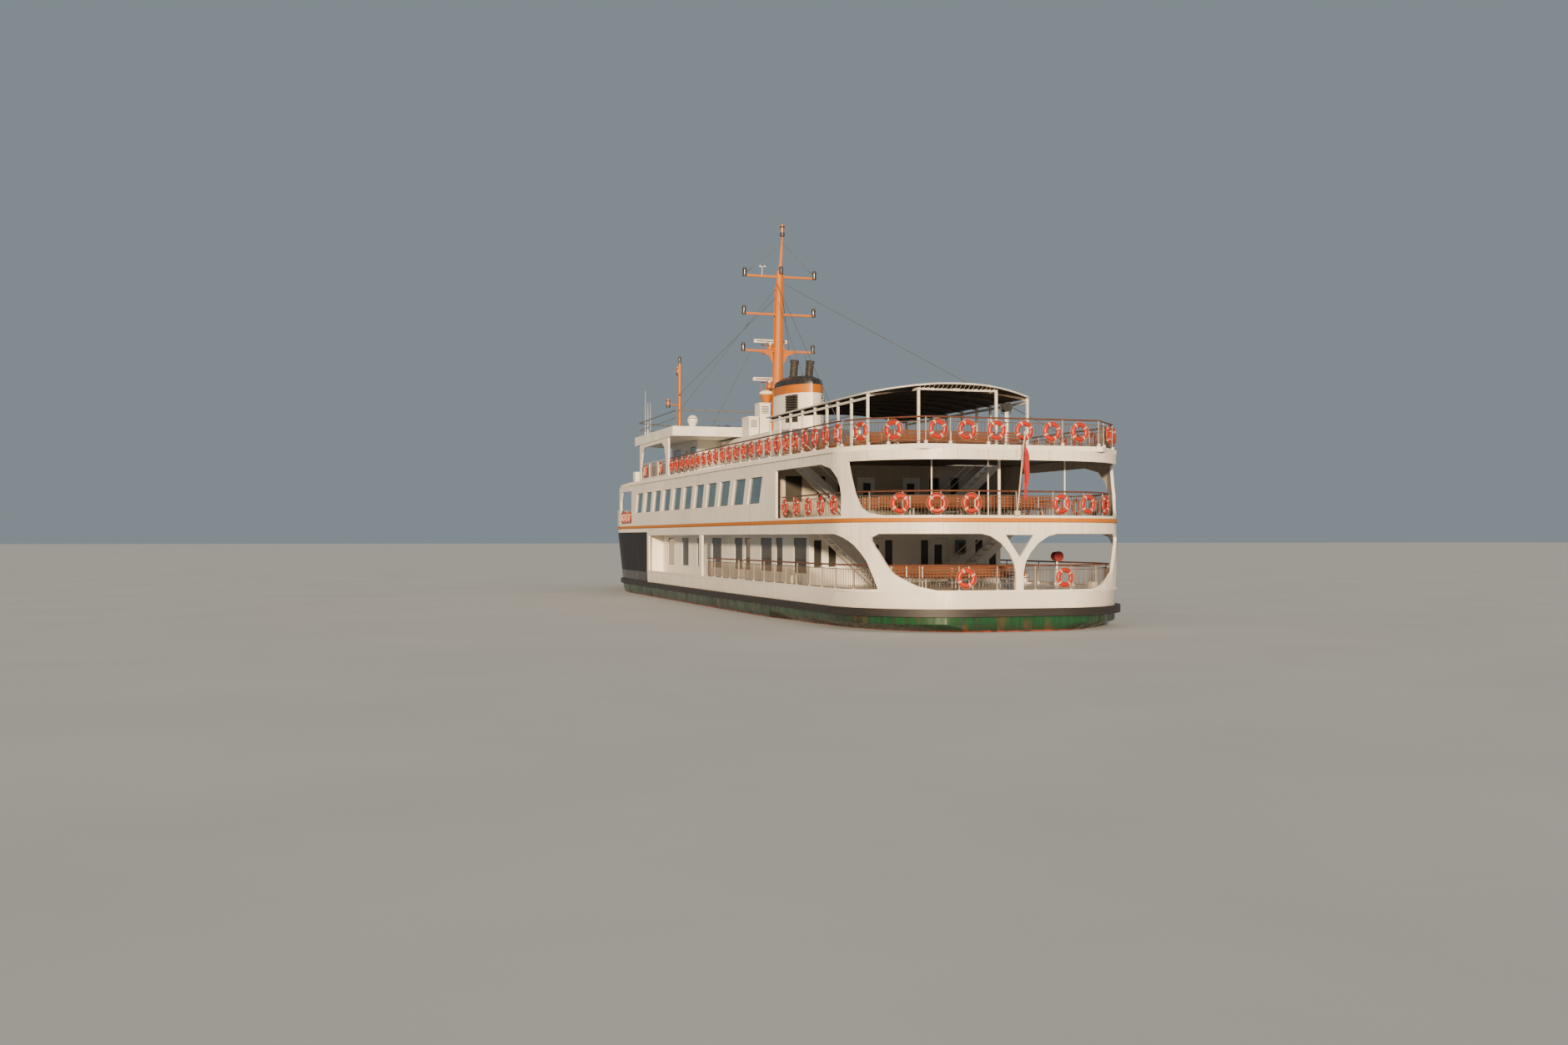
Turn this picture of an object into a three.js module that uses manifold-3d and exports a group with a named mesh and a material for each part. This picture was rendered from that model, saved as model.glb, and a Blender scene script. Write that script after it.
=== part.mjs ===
// Passenger ferry with three passenger decks, as a 1:2 scale model afloat.
// Sizes below are the real ship's, in metres: X forward from the stern, Y to port, Z up from the waterline.
// The last lines scale them to the model's millimetres and put the origin amidships on the waterline.
import * as THREE from "three";
import { mergeVertices } from "three/addons/utils/BufferGeometryUtils.js";
import Module from "manifold-3d";

const wasm = await Module();
wasm.setup();

const modelMillimetresPerMetre = 1000 / 2;
const gap = 0.0006;

const ship = { length: 60, halfBeam: 6.1, draught: 2.6, sternFlat: 1.7, sternRun: 4.5, bowHalf: 5.6 };
const bowStart = 45;
const taperStart = 20;
const stemRake = 0.55;
const bowFullness = 2.8;

// Heights of the decks and of the edges of the openings between them.
const level = {
  main: 1.5,
  sill: 1.6,
  mainTop: 3.76,
  upperUnder: 4.2,
  upper: 4.37,
  upperTop: 6.6,
  sunUnder: 7.0,
  sun: 7.2,
  canopy: 9.63,
  bridgeUnder: 9.5,
  bridgeRoof: 10.05,
};
const plate = 0.12;
const railHeight = 1.06;
const ringCentre = 0.56;

const finish = {
  white: { color: 0xe9ebe8, roughness: 0.45, metalness: 0 },
  hull: { color: 0x16181a, roughness: 0.5, metalness: 0 },
  green: { color: 0x2f5a49, roughness: 0.6, metalness: 0 },
  orange: { color: 0xd9872b, roughness: 0.5, metalness: 0 },
  deck: { color: 0x6d7472, roughness: 0.8, metalness: 0 },
  ring: { color: 0xe0512a, roughness: 0.5, metalness: 0 },
  wood: { color: 0x9a5a33, roughness: 0.6, metalness: 0 },
  black: { color: 0x1a1b1c, roughness: 0.55, metalness: 0 },
  bronze: { color: 0xa9843f, roughness: 0.35, metalness: 1 },
  grey: { color: 0x8d9396, roughness: 0.5, metalness: 0 },
  red: { color: 0xb8231f, roughness: 0.8, metalness: 0 },
};

const ferry = new THREE.Group();

// Turns a closed geometry into a solid that can be cut and joined.
function solid(geometry) {
  const loose = geometry.index ? geometry.toNonIndexed() : geometry.clone();
  loose.deleteAttribute("normal");
  loose.deleteAttribute("uv");
  const merged = mergeVertices(loose, 1e-6);
  const build = (triVerts) =>
    new wasm.Manifold(
      new wasm.Mesh({ numProp: 3, vertProperties: merged.attributes.position.array, triVerts }),
    );
  const made = build(new Uint32Array(merged.index.array));
  return made.volume() < 0 ? build(new Uint32Array(merged.index.array).reverse()) : made;
}

function join(pieces) {
  return pieces.reduce((whole, piece) => whole.add(piece));
}

function cut(body, tools) {
  return tools.reduce((rest, tool) => rest.subtract(tool), body);
}

function addNode(name, body, look) {
  const mesh = body.getMesh();
  const positions = new Float32Array(mesh.numVert * 3);
  for (let vertex = 0; vertex < mesh.numVert; vertex++) {
    const first = vertex * mesh.numProp;
    positions.set(mesh.vertProperties.subarray(first, first + 3), vertex * 3);
  }
  const geometry = new THREE.BufferGeometry();
  geometry.setAttribute("position", new THREE.BufferAttribute(positions, 3));
  geometry.setIndex(new THREE.BufferAttribute(mesh.triVerts, 1));
  geometry.computeVertexNormals();
  const node = new THREE.Mesh(geometry, new THREE.MeshStandardMaterial(look));
  node.name = name;
  ferry.add(node);
}

// Basic shapes: a box by its limits, a round bar between two points, and outlines pushed along an axis.
function block([x0, x1], [y0, y1], [z0, z1]) {
  const box = new THREE.BoxGeometry(Math.abs(x1 - x0), Math.abs(y1 - y0), Math.abs(z1 - z0));
  return solid(box.translate((x0 + x1) / 2, (y0 + y1) / 2, (z0 + z1) / 2));
}

function bar(from, to, radius, sides = 6, endRadius = radius) {
  const start = new THREE.Vector3(...from);
  const end = new THREE.Vector3(...to);
  const along = end.clone().sub(start);
  const rod = new THREE.CylinderGeometry(endRadius, radius, along.length(), sides);
  const turn = new THREE.Quaternion().setFromUnitVectors(new THREE.Vector3(0, 1, 0), along.normalize());
  return solid(rod.applyQuaternion(turn).translate(...start.add(end).divideScalar(2).toArray()));
}

function outlineShape(points) {
  return new THREE.Shape(points.map(([a, b]) => new THREE.Vector2(a, b)));
}

function planPrism(points, z0, z1) {
  const pushed = new THREE.ExtrudeGeometry(outlineShape(points), { depth: z1 - z0, bevelEnabled: false });
  return solid(pushed.translate(0, 0, z0));
}

// An outline in (x, z) pushed from y0 to y1.
function sidePrism(points, y0, y1) {
  const pushed = new THREE.ExtrudeGeometry(outlineShape(points), { depth: y1 - y0, bevelEnabled: false });
  return solid(pushed.rotateX(Math.PI / 2).translate(0, y1, 0));
}

// An outline in (y, z) pushed from x0 to x1.
function crossPrism(points, x0, x1) {
  const pushed = new THREE.ExtrudeGeometry(outlineShape(points), { depth: x1 - x0, bevelEnabled: false });
  return solid(pushed.rotateX(Math.PI / 2).rotateZ(Math.PI / 2).translate(x0, 0, 0));
}

// A skin over rings of points, each ring with the same number of points, with both ends closed.
function loft(rings) {
  const count = rings[0].length;
  const points = rings.flat();
  const faces = [];
  for (let ring = 0; ring < rings.length - 1; ring++) {
    for (let corner = 0; corner < count; corner++) {
      const a = ring * count + corner;
      const b = ring * count + ((corner + 1) % count);
      faces.push(a, b, b + count, a, b + count, a + count);
    }
  }
  for (const [first, turned] of [[0, true], [(rings.length - 1) * count, false]]) {
    const middle = points.length;
    const sum = points.slice(first, first + count).reduce(([x, y, z], p) => [x + p[0], y + p[1], z + p[2]]);
    points.push(sum.map((value) => value / count));
    for (let corner = 0; corner < count; corner++) {
      const a = first + corner;
      const b = first + ((corner + 1) % count);
      faces.push(...(turned ? [b, a, middle] : [a, b, middle]));
    }
  }
  const geometry = new THREE.BufferGeometry();
  geometry.setAttribute("position", new THREE.Float32BufferAttribute(points.flat(), 3));
  geometry.setIndex(faces);
  return solid(geometry);
}

// The half breadth of the decks: a flat stern, a quarter ellipse, long sides that taper, and the bow.
function bowHalfBreadth(x) {
  const along = Math.min(1, Math.max(0, (x - bowStart) / (ship.length - bowStart)));
  return ship.bowHalf * (1 - along ** bowFullness);
}

function halfBreadth(x) {
  if (x < ship.sternRun) {
    const reach = Math.sqrt(Math.max(0, 1 - (1 - x / ship.sternRun) ** 2));
    return ship.sternFlat + (ship.halfBeam - ship.sternFlat) * reach;
  }
  if (x < taperStart) return ship.halfBeam;
  if (x < bowStart) {
    const share = (x - taperStart) / (bowStart - taperStart);
    return ship.halfBeam + (ship.bowHalf - ship.halfBeam) * share;
  }
  return bowHalfBreadth(x);
}

const planKnots = [[0, 0], [0, ship.sternFlat]];
for (let step = 1; step <= 8; step++) {
  const turn = (step / 8) * (Math.PI / 2);
  const y = ship.sternFlat + (ship.halfBeam - ship.sternFlat) * Math.sin(turn);
  planKnots.push([ship.sternRun * (1 - Math.cos(turn)), y]);
}
planKnots.push([taperStart, ship.halfBeam], [bowStart, ship.bowHalf]);
for (let step = 1; step <= 8; step++) {
  const x = bowStart + ((ship.length - bowStart) * step) / 8;
  planKnots.push([x, bowHalfBreadth(x)]);
}

// Distances along the deck edge from the middle of the stern, and the outward direction at each knot.
const reach = [0];
for (let knot = 1; knot < planKnots.length; knot++) {
  const [x, y] = planKnots[knot];
  const [px, py] = planKnots[knot - 1];
  reach.push(reach[knot - 1] + Math.hypot(x - px, y - py));
}
const stemReach = reach[reach.length - 1];

function segmentNormal(knot) {
  const [x0, y0] = planKnots[knot];
  const [x1, y1] = planKnots[knot + 1];
  const length = Math.hypot(x1 - x0, y1 - y0);
  return [-(y1 - y0) / length, (x1 - x0) / length];
}

function knotNormal(knot) {
  const before = segmentNormal(Math.max(0, knot - 1));
  const after = segmentNormal(Math.min(planKnots.length - 2, knot));
  const first = knot === 0 ? [-1, 0] : before;
  const length = Math.hypot(first[0] + after[0], first[1] + after[1]);
  return [(first[0] + after[0]) / length, (first[1] + after[1]) / length];
}

// A point on the deck edge at distance s (starboard when negative), moved outward by an offset.
function edgePoint(s, offset = 0) {
  const side = s < 0 ? -1 : 1;
  const distance = Math.min(Math.abs(s), stemReach);
  let knot = 0;
  while (knot < reach.length - 2 && reach[knot + 1] < distance) knot++;
  const share = (distance - reach[knot]) / (reach[knot + 1] - reach[knot]);
  const mix = (a, b) => a + (b - a) * share;
  const [from, to] = [planKnots[knot], planKnots[knot + 1]];
  const [normalFrom, normalTo] = [knotNormal(knot), knotNormal(knot + 1)];
  const x = mix(from[0], to[0]) + offset * mix(normalFrom[0], normalTo[0]);
  const y = mix(from[1], to[1]) + offset * mix(normalFrom[1], normalTo[1]);
  return [x, side * y];
}

// The distance along the edge at which the side passes a given X.
function reachAt(x) {
  let knot = 1;
  while (planKnots[knot + 1][0] < x) knot++;
  const share = (x - planKnots[knot][0]) / (planKnots[knot + 1][0] - planKnots[knot][0]);
  return reach[knot] + share * (reach[knot + 1] - reach[knot]);
}

function planOutline(offset, fromX, toX) {
  const port = [];
  for (let knot = 0; knot < reach.length; knot++) {
    const point = edgePoint(reach[knot], offset);
    if (point[1] > 0.01 && planKnots[knot][0] >= fromX && planKnots[knot][0] <= toX) port.push(point);
  }
  if (fromX > 0) port.unshift(edgePoint(reachAt(fromX), offset));
  if (toX < ship.length) port.push(edgePoint(reachAt(toX), offset));
  else port.push([ship.length + offset, 0.12]);
  return [...port, ...port.map(([x, y]) => [x, -y]).reverse()];
}

// A curved wall, or the tool that cuts one: stations along the edge give [s, low, high].
function ribbon(stations, inner, outer, apart = 0.02) {
  const knots = reach.flatMap((value) => [value, -value]);
  const first = stations[0][0];
  const last = stations[stations.length - 1][0];
  const places = stations.map(([s]) => s);
  for (const knot of knots) {
    if (knot > first + apart && knot < last - apart && !places.some((s) => Math.abs(s - knot) < apart)) {
      places.push(knot);
    }
  }
  places.sort((a, b) => a - b);
  const heightAt = (s, column) => {
    let station = 0;
    while (station < stations.length - 2 && stations[station + 1][0] < s) station++;
    const [a, b] = [stations[station], stations[station + 1]];
    return a[column] + ((b[column] - a[column]) * (s - a[0])) / (b[0] - a[0]);
  };
  return loft(
    places.map((s) => {
      const [low, high] = [heightAt(s, 1), heightAt(s, 2)];
      const [xi, yi] = edgePoint(s, inner);
      const [xo, yo] = edgePoint(s, outer);
      return [[xi, yi, low], [xo, yo, low], [xo, yo, high], [xi, yi, high]];
    }),
  );
}

function mirrored(stations) {
  return stations.map(([s, low, high]) => [-s, low, high]).reverse();
}

// Opening tools pass right through the shell plating.
function opening(stations) {
  return ribbon(stations, -0.5, 0.5, 0.3);
}

// Rails follow the deck edge, with life rings hung on their outer side.
function lifeRing(s, z, offset) {
  const [x, y] = edgePoint(s, offset);
  const [xNext, yNext] = edgePoint(s + 0.05, offset);
  const ring = new THREE.TorusGeometry(0.29, 0.085, 3, 8).rotateX(Math.PI / 2);
  return solid(ring.rotateZ(Math.atan2(yNext - y, xNext - x)).translate(x, y, z));
}
function deckRail(from, to, base, inset, ringPlaces, height = railHeight) {
  const top = base + height;
  const pieces = [ribbon([[from, top - 0.05, top], [to, top - 0.05, top]], -inset - 0.03, -inset + 0.03)];
  const z = base + ringCentre + 0.27;
  const secondBar = [[from, z - 0.015, z + 0.015], [to, z - 0.015, z + 0.015]];
  pieces.push(ribbon(secondBar, -inset - 0.02, -inset + 0.02));
  const posts = Math.max(1, Math.round((to - from) / 2.4));
  for (let post = 0; post <= posts; post++) {
    const s = from + 0.025 + ((to - from - 0.05) * post) / posts;
    const [x, y] = edgePoint(s, -inset);
    pieces.push(block([x - 0.025, x + 0.025], [y - 0.025, y + 0.025], [base + gap, top - 0.01]));
  }
  for (const s of ringPlaces) pieces.push(lifeRing(s, base + ringCentre, -inset + 0.08));
  return join(pieces);
}
function spread(first, last, count) {
  return Array.from({ length: count }, (_, place) => first + ((last - first) * place) / (count - 1));
}
// Hull: a decked solid with a raked stem and a counter stern cut away over the propellers.
const hullStations = [0.02, 0.2, 0.7, 1.5, 2.8, 4.5, 8, 13, 18, 30, 42, 46, 49, 52, 54.5, 56.5, 57.6, 58.3];
function keelHeight(x) {
  if (x < 5) return -0.25 - 0.06 * x;
  if (x < 17) return -0.55 - (ship.draught - 0.55) * Math.sin(((x - 5) / 12) * (Math.PI / 2)) ** 1.4;
  if (x < 50) return -ship.draught;
  return -ship.draught + ship.draught * Math.max(0, (x - 50) / 8.4) ** 2.6;
}
function hullRing(x) {
  const keel = keelHeight(x);
  const deep = -keel;
  const atDeck = Math.max(0.12, halfBreadth(x < 30 ? x : x + stemRake * (level.upperUnder - level.main)));
  const aboveWater = Math.max(0.1, halfBreadth(x < 30 ? x : x + stemRake * 3.6) * 0.995);
  const fine = Math.min(1, 0.72 + 0.28 * (x / 12));
  const atWater = Math.max(0.08, halfBreadth(x < 30 ? x : x + stemRake * 4.6) * 0.96 * fine);
  const port = [
    [0, keel],
    [0.52 * atWater, keel + 0.08 * deep],
    [0.86 * atWater, keel + 0.34 * deep],
    [atWater, Math.max(keel + 0.75 * deep, keel + 0.08)],
    [aboveWater, 0.3],
    [atDeck, level.main],
  ];
  const starboard = port.slice(1).map(([y, z]) => [-y, z]).reverse();
  return [...port, ...starboard].map(([y, z]) => [x, y, z]);
}
const drive = { y: 2.3, z: -1.5, propellerX: 3.6, radius: 0.9, rudderX: 1.9, stock: 0.115 };
const hullBody = loft(hullStations.map(hullRing));
const rudderBore = (side) =>
  bar([drive.rudderX, side * drive.y, -1], [drive.rudderX, side * drive.y, 0.1], 0.117, 24);
const engine = { x: [20, 25], y: [-2.6, 2.6], z: [-1.9, 0.4] };
const grownEngine = [engine.x, engine.y, engine.z].map(([low, high]) => [low - gap, high + gap]);
const engineHatch = block([22, 23], [-0.4, 0.4], [0.4, level.main + 0.1]);
const keelBar = block([15, 50], [-0.16, 0.16], [-ship.draught - 0.3, -ship.draught + 0.1]);
const bollards = [1, -1].flatMap((side) => [
  block([10.2, 11.5], [side * 5.4, side * 5.7], [level.main - 0.05, level.main + 0.06]),
  ...[10.5, 11.2].map((x) => bar([x, side * 5.55, level.main], [x, side * 5.55, 1.95], 0.11, 10)),
]);
const hullCuts = [rudderBore(1), rudderBore(-1), block(...grownEngine), engineHatch];
addNode("hull", cut(join([hullBody, keelBar, ...bollards]), hullCuts), finish.hull);
addNode("engine", block(engine.x, engine.y, engine.z), finish.grey);

const belting = { low: 0.59, high: 0.89, proud: 0.16, straight: 30 };
const beltReach = reachAt(belting.straight);
const beltStations = [[-beltReach, belting.low, belting.high], [beltReach, belting.low, belting.high]];
const beltAft = ribbon(beltStations, -0.5, belting.proud);
const beltForward = [1, -1].map((side) =>
  loft(
    [belting.straight, 42, 46, 49, 52, 54, 55.5, 56.6].map((x) => {
      const ring = hullRing(x);
      const [above, deck] = [ring[4][1], ring[5][1]];
      const outer = side * (above + (deck - above) * 0.37 + belting.proud);
      const inner = side * Math.max(0.02, above - 0.5);
      const { low, high: topEdge } = belting;
      return [[x, inner, low], [x, outer, low], [x, outer, topEdge], [x, inner, topEdge]];
    }),
  ),
);
const belt = join([beltAft, ...beltForward]);
const clearHull = [hullBody.scale([1, 1.0002, 1]), hullBody.translate([-2 * gap, 0, 0])];
addNode("rubbing_band", cut(belt, clearHull), finish.black);

// Twin shafts in fixed tubes with brackets, four-bladed propellers and spade rudders.
for (const [name, side] of [["port", 1], ["starboard", -1]]) {
  const y = side * drive.y;
  const tubeEnd = drive.propellerX + 0.28;
  const shaftTube = bar([tubeEnd, y, drive.z], [12.5, y, drive.z], 0.16, 12);
  const bracket = [-0.35, 0.35].map((lean) => bar([4.3, y, drive.z], [4.3, y + lean, -0.2], 0.07, 6));
  const underHull = hullBody.translate([0, 0, -gap]);
  addNode("shaft_tube_" + name, join([shaftTube, ...bracket]).subtract(underHull), finish.green);

  const hub = bar([drive.propellerX - 0.3, y, drive.z], [tubeEnd - gap, y, drive.z], 0.1, 12, 0.17);
  const blades = [0, 1, 2, 3].map((quarter) => {
    const blade = new THREE.SphereGeometry(1, 7, 4).scale(0.045, 0.26, 0.42);
    blade.rotateZ(side * 0.6).translate(0, 0, drive.radius - 0.42);
    return solid(blade.rotateX((quarter * Math.PI) / 2).translate(drive.propellerX, y, drive.z));
  });
  addNode("propeller_" + name, join([hub, ...blades]), finish.bronze);

  const x = drive.rudderX;
  const blade = planPrism(
    [[x + 0.42, y], [x + 0.2, y + 0.11], [x - 0.9, y + 0.03], [x - 0.9, y - 0.03], [x + 0.2, y - 0.11]],
    -2.45,
    -0.72,
  );
  const stock = bar([x, y, -1], [x, y, -0.02], drive.stock, 16);
  addNode("rudder_" + name, blade.add(stock), finish.green);
}

// Raised bow: from the boarding opening forward the side is closed up to the upper deck.
const raisedBowFrom = 39.4;
function raisedBowRing(x) {
  const rakeShare = x > bowStart ? 1 : 0.2;
  const ease = (height) => halfBreadth(x + stemRake * (level.upperUnder - height) * rakeShare);
  const low = Math.max(0.12, ease(level.main));
  const high = Math.max(0.12, halfBreadth(x));
  const [bottom, top] = [level.main + gap, level.upperUnder - gap];
  return [[x, low, bottom], [x, high, top], [x, -high, top], [x, -low, bottom]];
}
const bowRings = [raisedBowFrom, 45, 46, 48, 50, 52, 54, 56, 57.5, 58.4].map(raisedBowRing);
const [stemLow, stemHigh] = [level.main + gap, 4.199];
bowRings.push([
  [58.5, 0.12, stemLow],
  [59.9, 0.14, stemHigh],
  [59.9, -0.14, stemHigh],
  [58.5, -0.12, stemLow],
]);
addNode("raised_bow", loft(bowRings), finish.hull);

// Shell plating of the main deck level, open along the promenade and in arches at the stern.
const shellSplit = 17;
const mainSideOpening = [
  [5.75, 1.62, 1.66],
  [6.25, level.sill, 2.68],
  [6.91, level.sill, 3.31],
  [7.67, level.sill, 3.63],
  [8.4, level.sill, level.mainTop],
  [29.3, level.sill, level.mainTop],
];
const mainSternOpening = [
  [0.16, level.sill, 2.27],
  [0.24, level.sill, 2.65],
  [0.45, level.sill, 3.02],
  [0.78, level.sill, 3.4],
  [1.24, level.sill, 3.68],
  [1.61, level.sill, level.mainTop],
  [3.35, level.sill, level.mainTop],
  [4.03, 1.74, level.mainTop],
  [4.56, 1.97, level.mainTop],
  [5.07, 2.24, level.mainTop],
  [5.7, 3.04, level.mainTop],
  [6.05, 3.5, 3.62],
];
const sternTriangle = crossPrism([[0, 2.85], [0.6, 3.72], [-0.6, 3.72]], -0.5, 0.5);
const [mainLow, mainHigh] = [level.main + gap, level.upperUnder - gap];
const mainStern = ribbon([[-shellSplit, mainLow, mainHigh], [shellSplit, mainLow, mainHigh]], -plate, 0);
addNode(
  "stern_frame_main",
  cut(mainStern, [
    opening([...mainSideOpening.slice(0, 5), [shellSplit + 1, level.sill, level.mainTop]]),
    opening(mirrored([...mainSideOpening.slice(0, 5), [shellSplit + 1, level.sill, level.mainTop]])),
    opening(mainSternOpening),
    opening(mirrored(mainSternOpening)),
    sternTriangle,
  ]),
  finish.white,
);

// Side shells: port and starboard, main level with its boarding openings, upper level with its windows.
const window = { count: 11, first: 18.04, pitch: 2.68, width: 1.97, lean: 0.5, low: 5.2, high: 6.42 };
const upperFrontX = 49;
const boarding = { from: 29.9, to: reachAt(raisedBowFrom) - 0.5 };
for (const [name, side] of [["port", 1], ["starboard", -1]]) {
  const turned = (stations) => (side > 0 ? stations : mirrored(stations));
  const mainEnd = reachAt(raisedBowFrom) - gap;
  const mainStations = [[shellSplit + gap, mainLow, mainHigh], [mainEnd, mainLow, mainHigh]];
  const mainWall = ribbon(turned(mainStations), -plate, 0);
  const mainOpenings = [[[shellSplit - 1, level.sill, level.mainTop], [29.3, level.sill, level.mainTop]]];
  mainOpenings.push([[boarding.from, level.sill, level.mainTop], [boarding.to, level.sill, level.mainTop]]);
  const mainHoles = mainOpenings.map((stations) => opening(turned(stations)));
  addNode("main_side_" + name, cut(mainWall, mainHoles), finish.white);

  const [low, high] = [level.upper + gap, level.sunUnder - gap];
  const upperStations = [[shellSplit + gap, low, high], [reachAt(upperFrontX), low, high]];
  const upperWall = ribbon(turned(upperStations), -plate, 0);
  const windows = [];
  for (let place = 0; place < window.count; place++) {
    const s = window.first + place * window.pitch;
    windows.push([
      [s, window.high - 0.02, window.high],
      [s + window.lean, window.low, window.high],
      [s + window.width, window.low, window.high],
      [s + window.width + window.lean, window.low, window.low + 0.02],
    ]);
  }
  const forward = reachAt(44.4);
  windows.push([
    [forward, 4.55, 6.65],
    [forward + 3.4, 4.55, 6.65],
    [forward + 4, 4.55, 6.0],
  ]);
  const shell = cut(upperWall, windows.map((stations) => opening(turned(stations))));
  const railEnds = [forward - 0.1, forward + 3.9].map((s) => side * s).sort((a, b) => a - b);
  const railRings = spread(forward + 0.5, forward + 3.2, 4).map((s) => side * s);
  const forwardRail = deckRail(...railEnds, level.upper, 0.06, railRings);
  addNode("upper_side_" + name, shell.add(forwardRail), finish.white);
}

// Upper deck level at the stern: side openings with a large curved corner and one wide stern opening.
const upperSideOpening = [
  [7.77, 4.47, 5.33],
  [7.84, 4.47, 5.6],
  [8.11, 4.47, 5.98],
  [8.75, 4.47, 6.39],
  [9.91, 4.47, level.upperTop],
  [16.05, 4.47, level.upperTop],
];
const upperSternOpening = [
  [-7.35, 6.5, level.upperTop],
  [-7.08, 5.72, level.upperTop],
  [-6.86, 5.22, level.upperTop],
  [-6.58, 4.78, level.upperTop],
  [-6.11, 4.56, level.upperTop],
  [-5.5, 4.47, level.upperTop],
  [5.5, 4.47, level.upperTop],
  [6.11, 4.56, level.upperTop],
  [6.58, 4.78, level.upperTop],
  [6.86, 5.22, level.upperTop],
  [7.08, 5.72, level.upperTop],
  [7.35, 6.5, level.upperTop],
];
const [upperLow, upperHigh] = [level.upper + gap, level.sunUnder - gap];
const upperSternStations = [[-shellSplit, upperLow, upperHigh], [shellSplit, upperLow, upperHigh]];
const upperStern = ribbon(upperSternStations, -plate, 0);
const upperSternOpenings = [upperSideOpening, mirrored(upperSideOpening), upperSternOpening];
const upperSternHoles = upperSternOpenings.map((stations) => opening(stations));
addNode("stern_frame_upper", cut(upperStern, upperSternHoles), finish.white);

// Decks with their stair openings; the upper deck's edge carries the coloured stripe.
const stairs = [
  {
    name: "main",
    x: [9.6, 10.6],
    foot: 1.7,
    head: 4.9,
    low: level.main,
    high: level.upper,
    well: [2.6, 5.0],
  },
  {
    name: "upper",
    x: [12.0, 13.0],
    foot: 1.9,
    head: 5.0,
    low: level.upper,
    high: level.sun,
    well: [2.7, 5.1],
  },
];
function stairWells(stair, z) {
  return [1, -1].map((side) =>
    block(
      [stair.x[0] - 0.12, stair.x[1] + 0.12],
      [side * stair.well[0], side * stair.well[1]],
      [z - 0.5, z + 0.5],
    ),
  );
}
const upperDeck = planPrism(planOutline(0.03, 0, ship.length), level.upperUnder, level.upper);
addNode("upper_deck", cut(upperDeck, stairWells(stairs[0], level.upper)), finish.orange);

const sunDeckFront = 50;
const sunOutline = [
  [0.35, -3.8], [0.35, 3.8], [2.4, 5.6], [4.4, 6.16], [20, 6.16], [45, 5.66], [sunDeckFront, 5.15],
];
const sunPlan = [...sunOutline.slice(1), ...sunOutline.slice(1).map(([x, y]) => [x, -y]).reverse()];
const sunDeck = planPrism(sunPlan, level.sunUnder, level.sun);
const searchlight = [
  bar([1.2, 0, level.sun - 0.1], [1.2, 0, 8.6], 0.04, 8),
  bar([1.02, 0, 8.72], [1.38, 0, 8.72], 0.16, 12),
];
const pillars = [[1.8, 0, 0.06], [1.8, 2.9, 0.03], [1.8, -2.9, 0.03], [2.8, 0, 0.03]].map(([x, y, radius]) =>
  bar([x, y, level.upper + gap], [x, y, level.sunUnder + 0.1], radius, 8),
);
const sunPlating = cut(sunDeck, stairWells(stairs[1], level.sun));
addNode("sun_deck", join([sunPlating, ...searchlight, ...pillars]), finish.white);

// Stairs across the ship: stringers, treads and handrails.
for (const stair of stairs) {
  for (const [name, side] of [["port", 1], ["starboard", -1]]) {
    const rise = stair.high - stair.low;
    const run = stair.head - stair.foot;
    const treads = 10;
    const pieces = [];
    for (const x of [stair.x[0], stair.x[1] - 0.06]) {
      const slope = [
        [stair.foot, stair.low + gap],
        [stair.foot + 0.34, stair.low + gap],
        [stair.head, stair.high - 0.3],
        [stair.head, stair.high],
        [stair.head - 0.1, stair.high],
        [stair.foot, stair.low + 0.24],
      ];
      pieces.push(crossPrism(slope.map(([y, z]) => [side * y, z]), x, x + 0.06));
      const railX = x + 0.03;
      const foot = [railX, side * (stair.foot + 0.1), stair.low + 0.2];
      const head = [railX, side * (stair.head - 0.05), stair.high - 0.1];
      const railFoot = [foot[0], foot[1], foot[2] + 0.9];
      const railHead = [head[0], head[1], head[2] + 1.0];
      pieces.push(bar(foot, railFoot, 0.022), bar(railFoot, railHead, 0.022), bar(head, railHead, 0.022));
    }
    for (let tread = 1; tread <= treads; tread++) {
      const y = stair.foot + (run * tread) / (treads + 1);
      const z = stair.low + (rise * tread) / (treads + 1);
      const treadDepth = [side * (y - 0.05), side * (y + 0.2)];
      pieces.push(block([stair.x[0] + 0.02, stair.x[1] - 0.02], treadDepth, [z - 0.04, z]));
    }
    addNode("stair_" + stair.name + "_" + name, join(pieces), finish.white);
  }
}

// Main deck saloon: side walls inboard of the promenade, aft bulkhead with doors.
const house = { from: 11.4, to: raisedBowFrom, half: 4.7, wall: 0.08 };
const houseWindows = [
  [11.7, 13.5], [15.2, 16.2], [16.9, 18.7], [20.5, 21.4], [21.9, 23.3],
  [25.9, 27.8], [29.5, 31], [33, 34.5], [36.5, 38],
];
const doorWidth = 0.9;
const doorHeight = 2.0;
for (const [name, side] of [["port", 1], ["starboard", -1]]) {
  const wallDepth = [side * house.half, side * (house.half - house.wall)];
  const wall = block([house.from, house.to - gap], wallDepth, [mainLow, mainHigh]);
  const holes = [];
  for (const [from, to] of houseWindows) {
    holes.push(block([from, to], [side * (house.half + 1), side * (house.half - 1)], [2.0, 3.6]));
  }
  addNode("main_house_side_" + name, cut(wall, holes), finish.white);
}

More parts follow.
